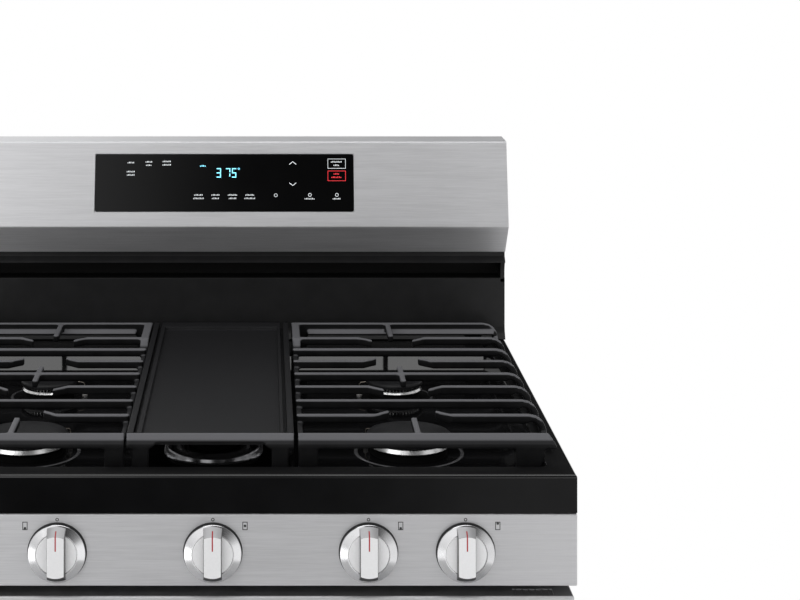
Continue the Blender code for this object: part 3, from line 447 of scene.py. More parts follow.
def shell(low, high, radius, cuts=()):
    """A sheet-metal front, open at the back, with rounded edges and with boxes cut out of it."""
    shape = bmesh.new()
    block(shape, low, high)
    back = [face for face in shape.faces if face.normal.y > 0.9]
    bmesh.ops.delete(shape, geom=back, context="FACES_ONLY")
    folds = [edge for edge in shape.edges if not edge.is_boundary]
    bmesh.ops.bevel(shape, geom=folds, offset=radius, segments=4, profile=0.5, affect="EDGES")
    source = add_object("sheet", from_bmesh("sheet", shape))
    modify(source, "SOLIDIFY", thickness=SHEET, offset=-1.0)
    cutters = []
    for cut_low, cut_high, corner in cuts:
        shape = bmesh.new()
        block(shape, cut_low, cut_high)
        if corner:
            longways = [e for e in shape.edges if abs((e.verts[0].co - e.verts[1].co).normalized().y) > 0.9]
            bmesh.ops.bevel(shape, geom=longways, offset=corner, segments=5, profile=0.5, affect="EDGES")
        cutters.append(boolean(source, "DIFFERENCE", shape))
    mesh = evaluated_mesh(source)
    for spare in (source, *cutters):
        bpy.data.objects.remove(spare)
    return mesh


def arc(center, radius, start, end, steps):
    """Points on a circle's arc, with angles in degrees."""
    turns = [math.radians(start + (end - start) * step / steps) for step in range(steps + 1)]
    return [(center[0] + radius * math.cos(t), center[1] + radius * math.sin(t)) for t in turns]


def turned(shape, profile, center, axis="Z", steps=64):
    """Adds a closed turned shape to a bmesh. The profile is (radius, distance along the axis)."""
    rings = []
    for radius, along in profile:
        ring = []
        for step in range(steps if radius > 0 else 1):
            turn = math.tau * step / steps
            spot = [radius * math.cos(turn), radius * math.sin(turn)]
            spot.insert("XYZ".index(axis), along)
            ring.append(shape.verts.new(Vector(center) + Vector(spot)))
        rings.append(ring)
    join_rings(shape, rings)


def turned_piece(name, profile, center, axis, steps, body, slot, *looks):
    shape = bmesh.new()
    turned(shape, profile, center, axis, steps)
    merge(shape)
    return piece(name, shape, body, slot, *looks)


def join_rings(shape, rings):
    """Joins rings of corners by faces. A ring of one corner is a point."""
    for lower, upper in zip(rings, rings[1:]):
        count = max(len(lower), len(upper))
        for step in range(count):
            after = (step + 1) % count
            corners = [lower[step % len(lower)], lower[after % len(lower)]]
            corners += [upper[after % len(upper)], upper[step % len(upper)]]
            shape.faces.new(list(dict.fromkeys(corners)))


def lines(low, high, pitch, *bands):
    """Grid line places from low to high. Each band (start, end, pitch) has its own finer pitch."""
    stops = sorted({low, high, *(edge for band in bands for edge in band[:2])})
    places = [stops[0]]
    for start, end in zip(stops, stops[1:]):
        middle = (start + end) / 2
        step = min([pitch] + [band[2] for band in bands if band[0] <= middle <= band[1]])
        count = max(1, round((end - start) / step))
        places += [start + (end - start) * number / count for number in range(1, count + 1)]
    return places


def ease(value):
    """0 to 1 with a soft start and end."""
    held = min(1.0, max(0.0, value))
    return held * held * (3.0 - 2.0 * held)


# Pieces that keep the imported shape.


def shade_by_angle(limit):
    """A modifier group that shades smooth, except where two faces meet at more than the limit."""
    group = bpy.data.node_groups.new("shade_by_angle", "GeometryNodeTree")
    for way in ("INPUT", "OUTPUT"):
        group.interface.new_socket("Geometry", in_out=way, socket_type="NodeSocketGeometry")
    shade = "GeometryNodeSetShadeSmooth"
    kinds = ("NodeGroupInput", shade, shade, "NodeGroupOutput")
    start, faces, edges, end = (group.nodes.new(kind) for kind in kinds)
    angle = group.nodes.new("GeometryNodeInputMeshEdgeAngle")
    over = group.nodes.new("FunctionNodeCompare")
    faces.domain, edges.domain = "FACE", "EDGE"
    edges.inputs["Shade Smooth"].default_value = False
    over.operation = "GREATER_THAN"
    over.inputs[1].default_value = limit
    link = group.links.new
    link(angle.outputs[0], over.inputs[0])
    link(over.outputs[0], edges.inputs["Selection"])
    link(start.outputs[0], faces.inputs["Geometry"])
    link(faces.outputs[0], edges.inputs["Geometry"])
    link(edges.outputs[0], end.inputs[0])
    return group


def finish_cad_nodes():
    """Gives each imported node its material, rounds its edges and shades its curved faces smooth."""
    sharp = ("oven_rack_lower", "oven_rack_upper", "door_gasket", "cooktop_pan")
    thin = ("door_skin", "control_panel", "drawer_front", "drawer_box", "oven_cavity", "front_frame")
    rounding = {**dict.fromkeys(sharp, 0.0), **dict.fromkeys(thin, 0.0005)}
    group = shade_by_angle(math.radians(32.0))
    for part in frame["record"]["subparts"]:
        made = nodes[part["node"]]
        finish = "window_glass" if part["node"] == "door_window" else part["material_slot"]
        made.data.materials.clear()
        made.data.materials.append(FINISHES[finish])
        modify(made, "WELD", merge_threshold=0.00001)
        modify(made, "DECIMATE", decimate_type="DISSOLVE", angle_limit=math.radians(0.5))
        width = rounding.get(part["node"], 0.0007)
        if width:
            soften(made, width, 2, 40.0)
        modify(made, "NODES", node_group=group)


# Cooktop.


SHEET = 0.0012
WELL_HALF, FLOOR_HALF = 0.3515, 0.345
WELL_FRONT, FLOOR_FRONT = FRONT + 0.028, FRONT + 0.036
FLOOR_BACK, WELL_BACK = FRONT + 0.54, FRONT + 0.583
FLOOR = RIM - 0.032


def ramp(value, soft):
    """0 to 1 in a straight line, with both its ends rounded over a stretch of twice soft."""
    if value < soft:
        return max(0.0, value + soft) ** 2 / (4 * soft)
    if value > 1.0 - soft:
        return 1.0 - max(0.0, 1.0 + soft - value) ** 2 / (4 * soft)
    return value


def burner_spine(place):
    """A burner's centre and half the straight length along Y of its outline, and its radius."""
    low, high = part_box(f"burner_head_{place}")
    middle = (low + high) / 2
    radius = (high.x - low.x) / 2
    return middle.x, middle.y, max(0.0, (high.y - low.y) / 2 - radius), radius


def from_spine(x, y, spine):
    beyond = max(0.0, abs(y - spine[1]) - spine[2])
    return math.hypot(x - spine[0], beyond)


def pan_height(x, y):
    """The pan's height: a flat floor, sloping sides, and a back wall that is steep at first."""
    across = max(0.0, (abs(x) - FLOOR_HALF) / (WELL_HALF - FLOOR_HALF))
    near = (FLOOR_FRONT - y) / (FLOOR_FRONT - WELL_FRONT)
    far = (y - FLOOR_BACK) / (WELL_BACK - FLOOR_BACK)
    steep, climbed = 0.35, 0.53
    if far < steep:
        far *= climbed / steep
    else:
        far = climbed + (far - steep) * (1.0 - climbed) / (1.0 - steep)
    corner = 3.0
    rise = (across**corner + max(0.0, near, far) ** corner) ** (1 / corner)
    return FLOOR + (RIM - FLOOR) * ramp(rise, 0.12)


def turn_edge_down(shape, low, high, radius, bottom, steps=5):
    """Carries a rectangular sheet's edges round a radius and down to a height."""
    start = {}
    edges = [edge for edge in shape.edges if edge.is_boundary]
    for step in range(1, steps + 2):
        grown = bmesh.ops.extrude_edge_only(shape, edges=edges)["geom"]
        turn = math.radians(90.0 * min(step, steps) / steps)
        out = radius * math.sin(turn)
        down = radius * (1.0 - math.cos(turn))
        for vert in (item for item in grown if isinstance(item, bmesh.types.BMVert)):
            inner = (min(max(vert.co[axis], low[axis]), high[axis]) for axis in (0, 1))
            top = start.setdefault(tuple(round(value, 6) for value in inner), vert.co.z)
            for axis in (0, 1):
                if vert.co[axis] > high[axis] - 0.00001:
                    vert.co[axis] = high[axis] + out
                elif vert.co[axis] < low[axis] + 0.00001:
                    vert.co[axis] = low[axis] - out
            vert.co.z = top - down if step <= steps else bottom
        edges = [item for item in grown if isinstance(item, bmesh.types.BMEdge) and item.is_boundary]


def height_sheet(shape, xs, ys, height):
    rows = [[shape.verts.new((x, y, height(x, y))) for x in xs] for y in ys]
    for near, far in zip(rows, rows[1:]):
        for column in range(len(xs) - 1):
            shape.faces.new((near[column], near[column + 1], far[column + 1], far[column]))


def cooktop():
    """The enamelled pan: a shallow well with sloping sides."""
    round_over, wall, coarse, fine = 0.0035, 0.003, 0.003, 0.0009
    low = (PAN_LOW.x + round_over, PAN_LOW.y + round_over)
    high = (PAN_HIGH.x - round_over, PAN_HIGH.y - round_over)
    left, right = (-WELL_HALF - wall, -FLOOR_HALF + wall, fine), (FLOOR_HALF - wall, WELL_HALF + wall, fine)
    near, far = (WELL_FRONT - wall, FLOOR_FRONT + wall, fine), (FLOOR_BACK - wall, FLOOR_BACK + 0.022, fine)
    shape = bmesh.new()
    xs, ys = lines(low[0], high[0], coarse, left, right), lines(low[1], high[1], coarse, near, far)
    height_sheet(shape, xs, ys, pan_height)
    turn_edge_down(shape, low, high, round_over, PAN_LOW.z)
    made = piece("cooktop_top", shape, "cabinet", "black_enamel", "cooktop_enamel", ["cooktop_pan"])
    repaint(made, "edge_enamel", lambda face: 0.05 < face.normal.z < 0.97)
    soften(made, 0.003, 4, 60.0)
    modify(made, "SOLIDIFY", thickness=SHEET, offset=-1.0)


def ridge(name, place, profile, finish, steps, forward=0.0):
    """A raised ring round a burner. The profile is (distance from the burner's spine, height)."""
    x, y, half, _ = burner_spine(place)
    rows = [(reach, FLOOR + height) for reach, height in profile]
    shape = bmesh.new()
    ringed(shape, (x, y - forward, half + forward, 0.045), rows, steps, False)
    merge(shape)
    piece(name, shape, "cabinet", "black_enamel", finish)


def ridges():
    """A low bead round each of the four burners, and an oval dish with a stepped rim in the middle."""
    bead = ((0.0, -0.0002), (0.12, 0.0008), (0.3, 0.0014), (0.5, 0.0016), (0.7, 0.0014), (0.88, 0.0008))
    bead += ((1.0, -0.0002), (0.0, -0.0002))
    for place in PLACES:
        inner, outer = (0.0575, 0.0635) if "front" in place else (0.044, 0.049)
        profile = [(inner + (outer - inner) * share, height) for share, height in bead]
        # The beads are grey on the black pan: painted highlight.
        ridge(f"burner_bead_{place}", place, profile, "bead_enamel", 120)
    inner_ridge = [(0.033, -0.0002), (0.033, 0.004), (0.0345, 0.0056), (0.036, 0.0074), (0.0375, 0.008)]
    trough = [(0.039, 0.0072), (0.0405, 0.0052), (0.0425, 0.0044), (0.048, 0.0044), (0.0496, 0.0056)]
    rim = [(0.0508, 0.0074), (0.0518, 0.0079), (0.0527, 0.0074), (0.0535, 0.0058), (0.0542, 0.003)]
    foot = [(0.0552, 0.0014), (0.0566, 0.0008), (0.0574, -0.0002), (0.033, -0.0002)]
    profile = inner_ridge + trough + rim + foot
    # The dish is grey on the black pan: painted highlight.
    ridge("burner_dish_center", "center", profile, "dish_enamel", 176, 0.0135)


# Grates and griddle.


# Side outlines of what the grates gain or lose, as (behind the pan's front, above its rim).
FRONT_SLOPE = ((0.0445, 0.0171), (0.0465, 0.0171), (0.0523, 0.0288), (0.0523, 0.0308), (0.0445, 0.0308))
BACK_LEDGE = ((0.558, 0.0225), (0.5565, 0.0216), (0.5515, 0.0156), (0.5515, 0.0132), (0.558, 0.0132))
BACK_CORNER = ((0.56, 0.0286), (0.476, 0.0286), (0.452, 0.018), (0.452, 0.017), (0.56, 0.017))


def side_prism(shape, outline, *ends):
    """Adds a side outline to a bmesh, as a prism between two places along X."""
    outline_prism(shape, [(FRONT + back, RIM + up) for back, up in outline], 0, *sorted(ends))


def bar_end(cutter, added, outer, sign):
    """Ends the front bar as a flat plate with its corner cut off, over a leg that widens upwards."""
    near, far = FRONT + 0.0464, FRONT + 0.0536
    left, right = sorted((sign * 0.353, outer + sign * 0.001))
    block(cutter, (left, FRONT + 0.04, RIM + 0.0005), (right, FRONT + 0.074, RIM + 0.0118))
    corner = ((0.358, 0.03), (0.358, 0.0288), (0.366, 0.016), (0.368, 0.016), (0.368, 0.03))
    plate = ((0.335, 0.0124), (0.3655, 0.0124), (0.3655, 0.016), (0.3575, 0.0286), (0.335, 0.0286))
    leg = ((0.3255, -0.0315), (0.34, -0.0315), (0.351, -0.002), (0.3555, 0.014), (0.3255, 0.014))
    for shape, outline, start, end in (
        (cutter, corner, FRONT + 0.045, FRONT + 0.055),
        (added, plate, near, far),
        (added, leg, near + 0.0004, far - 0.0004),
    ):
        outline_prism(shape, [(sign * x, RIM + z) for x, z in outline], 1, start, end)


def scallops(shape, inner, outer):
    """Adds cutters for the small arches under the side rails, one for each gap between two ribs."""
    first_rib, pitch, reach, steps = FRONT + 0.1225, 0.0593, 0.012, 24
    ends = [FRONT + 0.0535, *(first_rib + pitch * row for row in range(7)), FRONT + 0.556]
    for near, far in zip(ends, ends[1:]):
        middle, half = (near + far) / 2, (far - near) / 2 - 0.01
        for x, bottom, rise in ((inner, 0.0095, 0.0055), (outer, 0.0025, 0.0035)):
            turns = [math.tau * step / steps for step in range(steps)]
            ring = [(middle + half * math.cos(t), RIM + bottom + rise * math.sin(t)) for t in turns]
            outline_prism(shape, ring, 0, x - reach, x + reach)


def cast(name, cutter, added):
    """A packed grate, cut and with a shape added, with the rounded edges and corners of a casting."""
    shape = bmesh.new()
    shape.from_mesh(nodes[name].data)
    merge(shape, 0.00001)
    made = piece(f"{name}_cast", shape, nodes[name]["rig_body"], "cast_iron", None, [name], 0)
    helpers = [boolean(made, "UNION", added, True), boolean(made, "DIFFERENCE", cutter, True)]
    modify(made, "REMESH", mode="VOXEL", voxel_size=0.0014, use_smooth_shade=True)
    modify(made, "SMOOTH", factor=0.5, iterations=7)
    apply_modifiers(made, helpers)


def grates():
    """The three grates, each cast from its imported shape."""
    margin = 0.001
    for side, sign in (("left", -1), ("right", 1)):
        low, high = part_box(f"grate_{side}")
        inner, outer = (high.x, low.x) if sign < 0 else (low.x, high.x)
        cutter, added = bmesh.new(), bmesh.new()
        scallops(cutter, inner, outer)
        side_prism(cutter, FRONT_SLOPE, low.x - margin, high.x + margin)
        side_prism(added, BACK_LEDGE, inner + sign * 0.022, outer - sign * 0.006)
        side_prism(added, BACK_CORNER, inner + sign * 0.0004, inner + sign * 0.0108)
        bar_end(cutter, added, outer, sign)
        cast(f"grate_{side}", cutter, added)
    low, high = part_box("grate_center")
    cutter, lip = bmesh.new(), bmesh.new()
    side_prism(cutter, FRONT_SLOPE, low.x - margin, high.x + margin)
    block(lip, (low.x + 0.034, FRONT + 0.0466, RIM + 0.0183), (high.x - 0.035, FRONT + 0.0534, RIM + 0.0215))
    cast("grate_center", cutter, lip)


def griddle():
    """A cast plate with a raised rim at its sides and back, and a fine groove along each side."""
    low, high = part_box("griddle")
    plate_left, plate_right = low.x + 0.016, high.x - 0.0145
    plate_back = FRONT + 0.538
    plate_drop, groove_drop, wall, fine = 0.0044, 0.007, 0.0004, 0.0002
    groove_start, groove_end = 0.007, 0.0108

    def height(x, y):
        inside = min(x - plate_left, plate_right - x, plate_back - y)
        from_side = min(x - low.x, high.x - x)
        groove = ease((from_side - groove_start) / wall) * (1.0 - ease((from_side - groove_end) / wall))
        return high.z - plate_drop * ramp(inside / 0.0008, 0.3) - groove_drop * groove

    edge = 0.0015
    start, end = (low.x + edge, low.y + edge), (high.x - edge, high.y - edge)
    bands = [(plate_left - 0.0006, plate_left + 0.0014, fine)]
    bands.append((plate_right - 0.0014, plate_right + 0.0006, fine))
    for spot in (groove_start, groove_end):
        bands.append((low.x + spot - 0.0004, low.x + spot + 0.0008, fine))
        bands.append((high.x - spot - 0.0008, high.x - spot + 0.0004, fine))
    ys = lines(start[1], end[1], 0.008, (plate_back - 0.0014, plate_back + 0.0006, fine))
    shape = bmesh.new()
    height_sheet(shape, lines(start[0], end[0], 0.004, *bands), ys, height)
    turn_edge_down(shape, start, end, edge, low.z, 4)
    bmesh.ops.holes_fill(shape, edges=[edge for edge in shape.edges if edge.is_boundary], sides=0)
    piece("griddle_plate", shape, "griddle", "griddle_coating", None, ["griddle"])


# Burners.


def ringed(shape, spine, rows, count, capped=True):
    """Adds rings round a burner's spine to a bmesh. A row is (radius, height) and maybe a tooth depth."""
    x, y, half, radius = spine
    straight, curve = 2 * half, math.pi * radius
    rings = []
    for reach, height, *tooth in rows:
        ring = []
        for step in range(count):
            walked = (2 * (straight + curve)) * step / count
            side = 1.0
            if walked >= straight + curve:
                walked -= straight + curve
                side = -1.0
            turn = max(0.0, walked - straight) / radius
            start = Vector((0.0, min(walked, straight) - half))
            out = reach - (tooth[0] if tooth and step // 2 % 2 else 0.0)
            place = (Vector((math.cos(turn), math.sin(turn))) * out + start) * side
            ring.append(shape.verts.new((x + place.x, y + place.y, height)))
        rings.append(ring)
    join_rings(shape, rings)
    if capped:
        shape.faces.new(rings[0])
        shape.faces.new(rings[-1])


def burner(place):
    """An aluminium burner head with its ring of ports, and the cap on it."""
    low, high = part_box(f"burner_head_{place}")
    spine = burner_spine(place)
    radius, top = spine[3], high.z
    port_pitch, port_depth = 0.0044, 0.0022
    port_tall = 0.0026 if "rear" in place else 0.001
    count = 4 * round((2 * spine[2] + math.pi * radius) * 2 / port_pitch)
    base, foot = FLOOR + 0.0004, RIM - 0.0232
    wall_top = top - port_tall - 0.0008
    neck, body, inset, rim = 0.016, radius * 0.93, radius * 0.86, radius - 0.0018
    rows = [(neck, low.z), (neck, base), (body, base), (body, foot - 0.0014), (inset, foot - 0.0014)]
    rows += [(inset, foot), (radius - 0.002, foot + 0.0006), (radius - 0.0004, foot + 0.0016)]
    rows += [(radius, foot + 0.0024), (rim, wall_top), (rim, wall_top + 0.0002, port_depth)]
    rows += [(rim, top - 0.001, port_depth), (rim, top - 0.0008), (rim - 0.0005, top)]
    shape = bmesh.new()
    ringed(shape, spine, rows, count)
    stands_for = [f"burner_head_{place}"]
    made = piece(f"burner_{place}", shape, "cabinet", "burner_aluminium", None, stands_for, 28.0)

    # Painted shade: the head's top inside its ring of ports, under the cap, is coloured near black. So is
    # its body below the bowl, partly for the real burner's dark base and partly as painted shade.
    def shade_and_dark_base(face):
        inside = from_spine(face.center.x, face.center.y, spine) < rim - 0.0006
        return inside and face.center.z > wall_top or face.center.z < foot - 0.0002

    repaint(made, "soot", shade_and_dark_base)
    low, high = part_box(f"burner_cap_{place}")
    reach, tall = (high.x - low.x) / 2, high.z - low.z
    rows = [(reach - 0.003, low.z), (reach - 0.0008, low.z), (reach, low.z + 0.0008)]
    rounding = ((0.0, 0.45), (0.0006, 0.66), (0.002, 0.84), (0.0045, 0.95))
    rows += [(reach - inwards, low.z + tall * share) for inwards, share in rounding]
    rows += [(reach - 0.009, high.z - 0.0001), (reach - 0.012, high.z)]
    shape = bmesh.new()
    ringed(shape, spine, rows, count)
    piece(f"cap_top_{place}", shape, f"cap_{place}", "cap_enamel", None, [f"burner_cap_{place}"])


def electrode(place, direction):
    """A spark electrode beside a burner: a ribbed ceramic sleeve with a bent wire in it."""
    x, y, _, radius = burner_spine(place)
    out = Vector((math.cos(direction), math.sin(direction), 0.0))
    stand = Vector((x, y, FLOOR)) + out * (radius + 0.011)
    sleeve = [(0.0, 0.0002), (0.0034, 0.0002), (0.0034, 0.003), (0.0026, 0.0036), (0.0026, 0.011)]
    sleeve += [(0.002, 0.012), (0.0, 0.012)]
    looks = ("cabinet", "burner_steel", "ceramic")
    turned_piece(f"electrode_sleeve_{place}", sleeve, stand, "Z", 20, *looks)
    bends = ((0.0, 0.01), (0.0, 0.0165), (0.002, 0.0183), (0.008, 0.019))
    route = [stand - out * inwards + Vector((0.0, 0.0, up)) for inwards, up in bends]
    wire(f"electrode_wire_{place}", route, 0.0006, "cabinet", "burner_steel")


def wire(name, route, radius, body, slot):
    """A round rod along a route, as a closed mesh."""
    curve = bpy.data.curves.new(name, "CURVE")
    curve.dimensions = "3D"
    spline = curve.splines.new("POLY")
    spline.points.add(len(route) - 1)
    for point, place in zip(spline.points, route):
        point.co = (*place, 1.0)
    curve.bevel_depth = radius
    curve.bevel_resolution = 3
    curve.use_fill_caps = True
    source = add_object(name, curve)
    shape = bmesh.new()
    shape.from_mesh(evaluated_mesh(source))
    bpy.data.objects.remove(source)
    merge(shape)
    piece(name, shape, body, slot)


# Controls.


def knob_middle(place):
    low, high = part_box(f"knob_{place}")
    return (low.x + high.x) / 2, (low.z + high.z) / 2


def bar_outline(half, radius, steps=8):
    """A bar's outline, with straight sides and with ends that follow a circle."""
    across = [half * (2.0 * step / steps - 1.0) for step in range(steps + 1)]
    upper = [(x, math.sqrt(radius**2 - x**2)) for x in across]
    return upper + [(x, -z) for x, z in reversed(upper)]


def knob(place):
    """A conical metal skirt, a satin disc, and a bar across it whose ends slope out to the skirt's edge."""
    low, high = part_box(f"knob_{place}")
    x, z = knob_middle(place)
    center = (x, 0.0, z)
    radius, back = (high.x - low.x) / 2, high.y
    body = f"knob_{place}"
    disc, face = 0.0212, back - 0.0044
    skirt = [(0.0, back), (radius - 0.0012, back), (radius - 0.0003, back - 0.0004)]
    skirt += [(radius, back - 0.0011), (radius - 0.0004, back - 0.0017), (disc + 0.001, face - 0.0003)]
    skirt += [(disc + 0.0003, face - 0.0002), (disc, face + 0.0006), (0.0, face + 0.0006)]
    looks = (body, "knob_metal", None, [f"knob_{place}"], 20.0)
    turned_piece(f"knob_skirt_{place}", skirt, center, "Y", 96, *looks)
    plate = [(0.0, face + 0.0009), (disc - 0.0003, face + 0.0009), (disc - 0.0003, face - 0.0001)]
    plate += [(disc - 0.0009, face - 0.0004), (0.0, face - 0.0004)]
    turned_piece(f"knob_disc_{place}", plate, center, "Y", 96, body, "knob_metal", "knob_satin")
    crown, foot = back - 0.0137, back - 0.0016
    crown_half, foot_half = 0.009, 0.0099
    crown_radius, foot_radius = 0.0216, radius - 0.0012
    levels = [(foot_half, foot_radius, back - 0.0006), (foot_half, foot_radius, foot)]
    shape = bmesh.new()
    rings = []
    for half, reach, y in (*levels, (crown_half, crown_radius, crown)):
        rings.append([shape.verts.new((x + across, y, z + up)) for across, up in bar_outline(half, reach)])
    join_rings(shape, rings)
    shape.faces.new(rings[0])
    shape.faces.new(rings[-1])
    bar = piece(f"knob_bar_{place}", shape, body, "knob_metal", "knob_satin")
    # Painted shade: the bar's upper slopes take a darker copy of its satin finish, its side walls and lower
    # slopes a near black copy.
    repaint(bar, "knob_slope", lambda side: side.normal.z > 0.3)
    repaint(bar, "knob_wall", lambda side: abs(side.normal.x) > 0.7 or side.normal.z < -0.3)
    soften(bar, 0.0005, 3, 20.0)
    knob_line(place, x, z, crown, crown_radius, (foot - crown) / (foot_radius - crown_radius))
    # The black bezel reaches 1 mm beyond the knob's edge, so that a dark ring shows round the knob as a
    # painted shadow.
    inner, outer, wall = radius - 0.006, radius + 0.001, FRONT - 0.0001
    bezel_and_shadow = [(inner, wall), (outer, wall), (outer, FRONT - 0.0008), (radius + 0.0002, FRONT - 0.0013)]
    bezel_and_shadow += [(inner, FRONT - 0.0013), (inner, wall)]
    turned_piece(f"knob_bezel_and_shadow_{place}", bezel_and_shadow, center, "Y", 72, "cabinet", "black_plastic")


def knob_line(place, x, z, crown, crown_radius, slope):
    """The red line along the upper half of a knob's bar."""
    half_line, proud, sunk = 0.00065, 0.00015, 0.0004
    ups = (0.0068, 0.012, 0.017, crown_radius, crown_radius + 0.004)
    spots = [(up, crown + max(0.0, up - crown_radius) * slope) for up in ups]
    shape = bmesh.new()
    sides = []
    for edge in (x - half_line, x + half_line):
        side = [shape.verts.new((edge, y - proud, z + up)) for up, y in spots]
        sides.append(side + [shape.verts.new((edge, y + sunk, z + up)) for up, y in reversed(spots)])
    join_rings(shape, sides)
    last = len(sides[0]) - 1
    for step in range(len(spots) - 1):
        for side in sides:
            shape.faces.new((side[step], side[step + 1], side[last - step - 1], side[last - step]))
    piece(f"knob_line_{place}", shape, f"knob_{place}", "knob_metal", "red_print")


def border(x0, low, x1, high, line):
    """The four bars of a frame, as (x0, low, x1, high)."""
    yield x0, low, x1, low + line
    yield x0, high - line, x1, high
    yield x0, low, x0 + line, high
    yield x1 - line, low, x1, high


def panel_marks():
    """A small ring over each knob, and beside each knob a sign of which burner it turns."""
    shape = bmesh.new()
    deep, face = 0.00006, PANEL_LOW.y
    knob_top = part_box("knob_center")[1].z
    ring = [(0.001, face - deep), (0.0018, face - deep), (0.0018, face + deep), (0.001, face + deep)]
    for place in (*PLACES, "center"):
        turned(shape, [*ring, ring[0]], (knob_middle(place)[0], 0.0, knob_top + 0.0037), "Y", 20)
    merge(shape)
    half_wide, half_tall, line, beside, dot_off = 0.0027, 0.0043, 0.0008, 0.0335, 0.0025
    dot = [(0.0, face - deep), (0.0014, face - deep), (0.0014, face + deep)]
    for place in (*PLACES, "center"):
        x = knob_middle(place)[0] + (-beside if "left" in place else beside)
        z = knob_top - 0.0028
        for x0, low, x1, high in border(x - half_wide, z - half_tall, x + half_wide, z + half_tall, line):
            block(shape, (x0, face - deep, low), (x1, face + deep, high))
        up = {"front": -dot_off, "rear": dot_off}.get(place.split("_")[-1], 0.0)
        turned(shape, dot, (x, 0.0, z + up), "Y", 12)
    piece("panel_marks", shape, "cabinet", "stainless", "dark_print", (), 0)


def fronts():
    """The stainless sheet fronts: the control panel, the oven door's skin and the drawer's."""
    panel = shell(PANEL_LOW, PANEL_HIGH, 0.0016)
    piece("panel_face", panel, "cabinet", "stainless", None, ["control_panel"])
    low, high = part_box("door_skin")
    glass_low, glass_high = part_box("door_window")
    overlap, beyond, vent_x = 0.019, 0.01, 0.335
    window_low = (glass_low.x + overlap, low.y - beyond, glass_low.z + overlap)
    window_high = (glass_high.x - overlap, low.y + beyond, glass_high.z - overlap)
    cuts = [(window_low, window_high, 0.008)]
    for x in (-vent_x, vent_x):
        vent = (x - 0.021, low.y + 0.006, high.z - beyond), (x + 0.021, low.y + 0.022, high.z + beyond)
        notch = (x - 0.0062, low.y + 0.0058, low.z - beyond), (x + 0.0062, low.y + 0.06, low.z + 0.028)
        cuts += [(*vent, 0.0), (*notch, 0.0)]
    skin = piece("door_face", shell(low, high, 0.0022, cuts), "oven_door", "stainless", None, ["door_skin"])

    def on_top(face):
        return face.normal.z > 0.9 and face.center.z > high.z - 0.002 and face.center.y > low.y + 0.003

    repaint(skin, "door_edge", on_top)
    shape = bmesh.new()
    top, rib_pitch, half_rib = high.z - SHEET, 0.007, 0.001
    for x in (-vent_x, vent_x):
        block(shape, (x - 0.023, low.y + 0.004, top - 0.0012), (x + 0.023, low.y + 0.024, top))
        for step in range(6):
            rib = x + rib_pitch * (step - 2.5)
            near = (rib - half_rib, low.y + 0.005, top - 0.0002)
            block(shape, near, (rib + half_rib, low.y + 0.023, top + 0.0008))
    soften(piece("door_vent_screen", shape, "oven_door", "stainless", "door_edge"), 0.0002)
    low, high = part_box("drawer_front")
    grip = ((-0.11, low.y + 0.006, high.z - 0.01), (0.11, low.y + 0.03, high.z + 0.01), 0.0)
    front = shell(low, high, 0.0022, [grip])
    piece("drawer_face", front, "storage_drawer", "stainless", None, ["drawer_front"])


# Backguard and display.


NOSE = Vector((COVER_LOW.y, RIM + 0.159))
COVER_TOP = Vector((FRONT + 0.574, COVER_HIGH.z))
RISE = (COVER_TOP - NOSE).normalized()
OUTWARD = Vector((-RISE.y, RISE.x))
RECESS_LOW, RECESS_TOP, RECESS_DEEP = 0.0201, 0.0969, -0.0036


def on_slope(x, along, out):
    """A point on the cover's sloping face: along it from its lower edge, and out from it."""
    spot = NOSE + RISE * along + OUTWARD * out
    return Vector((x, spot.x, spot.y))


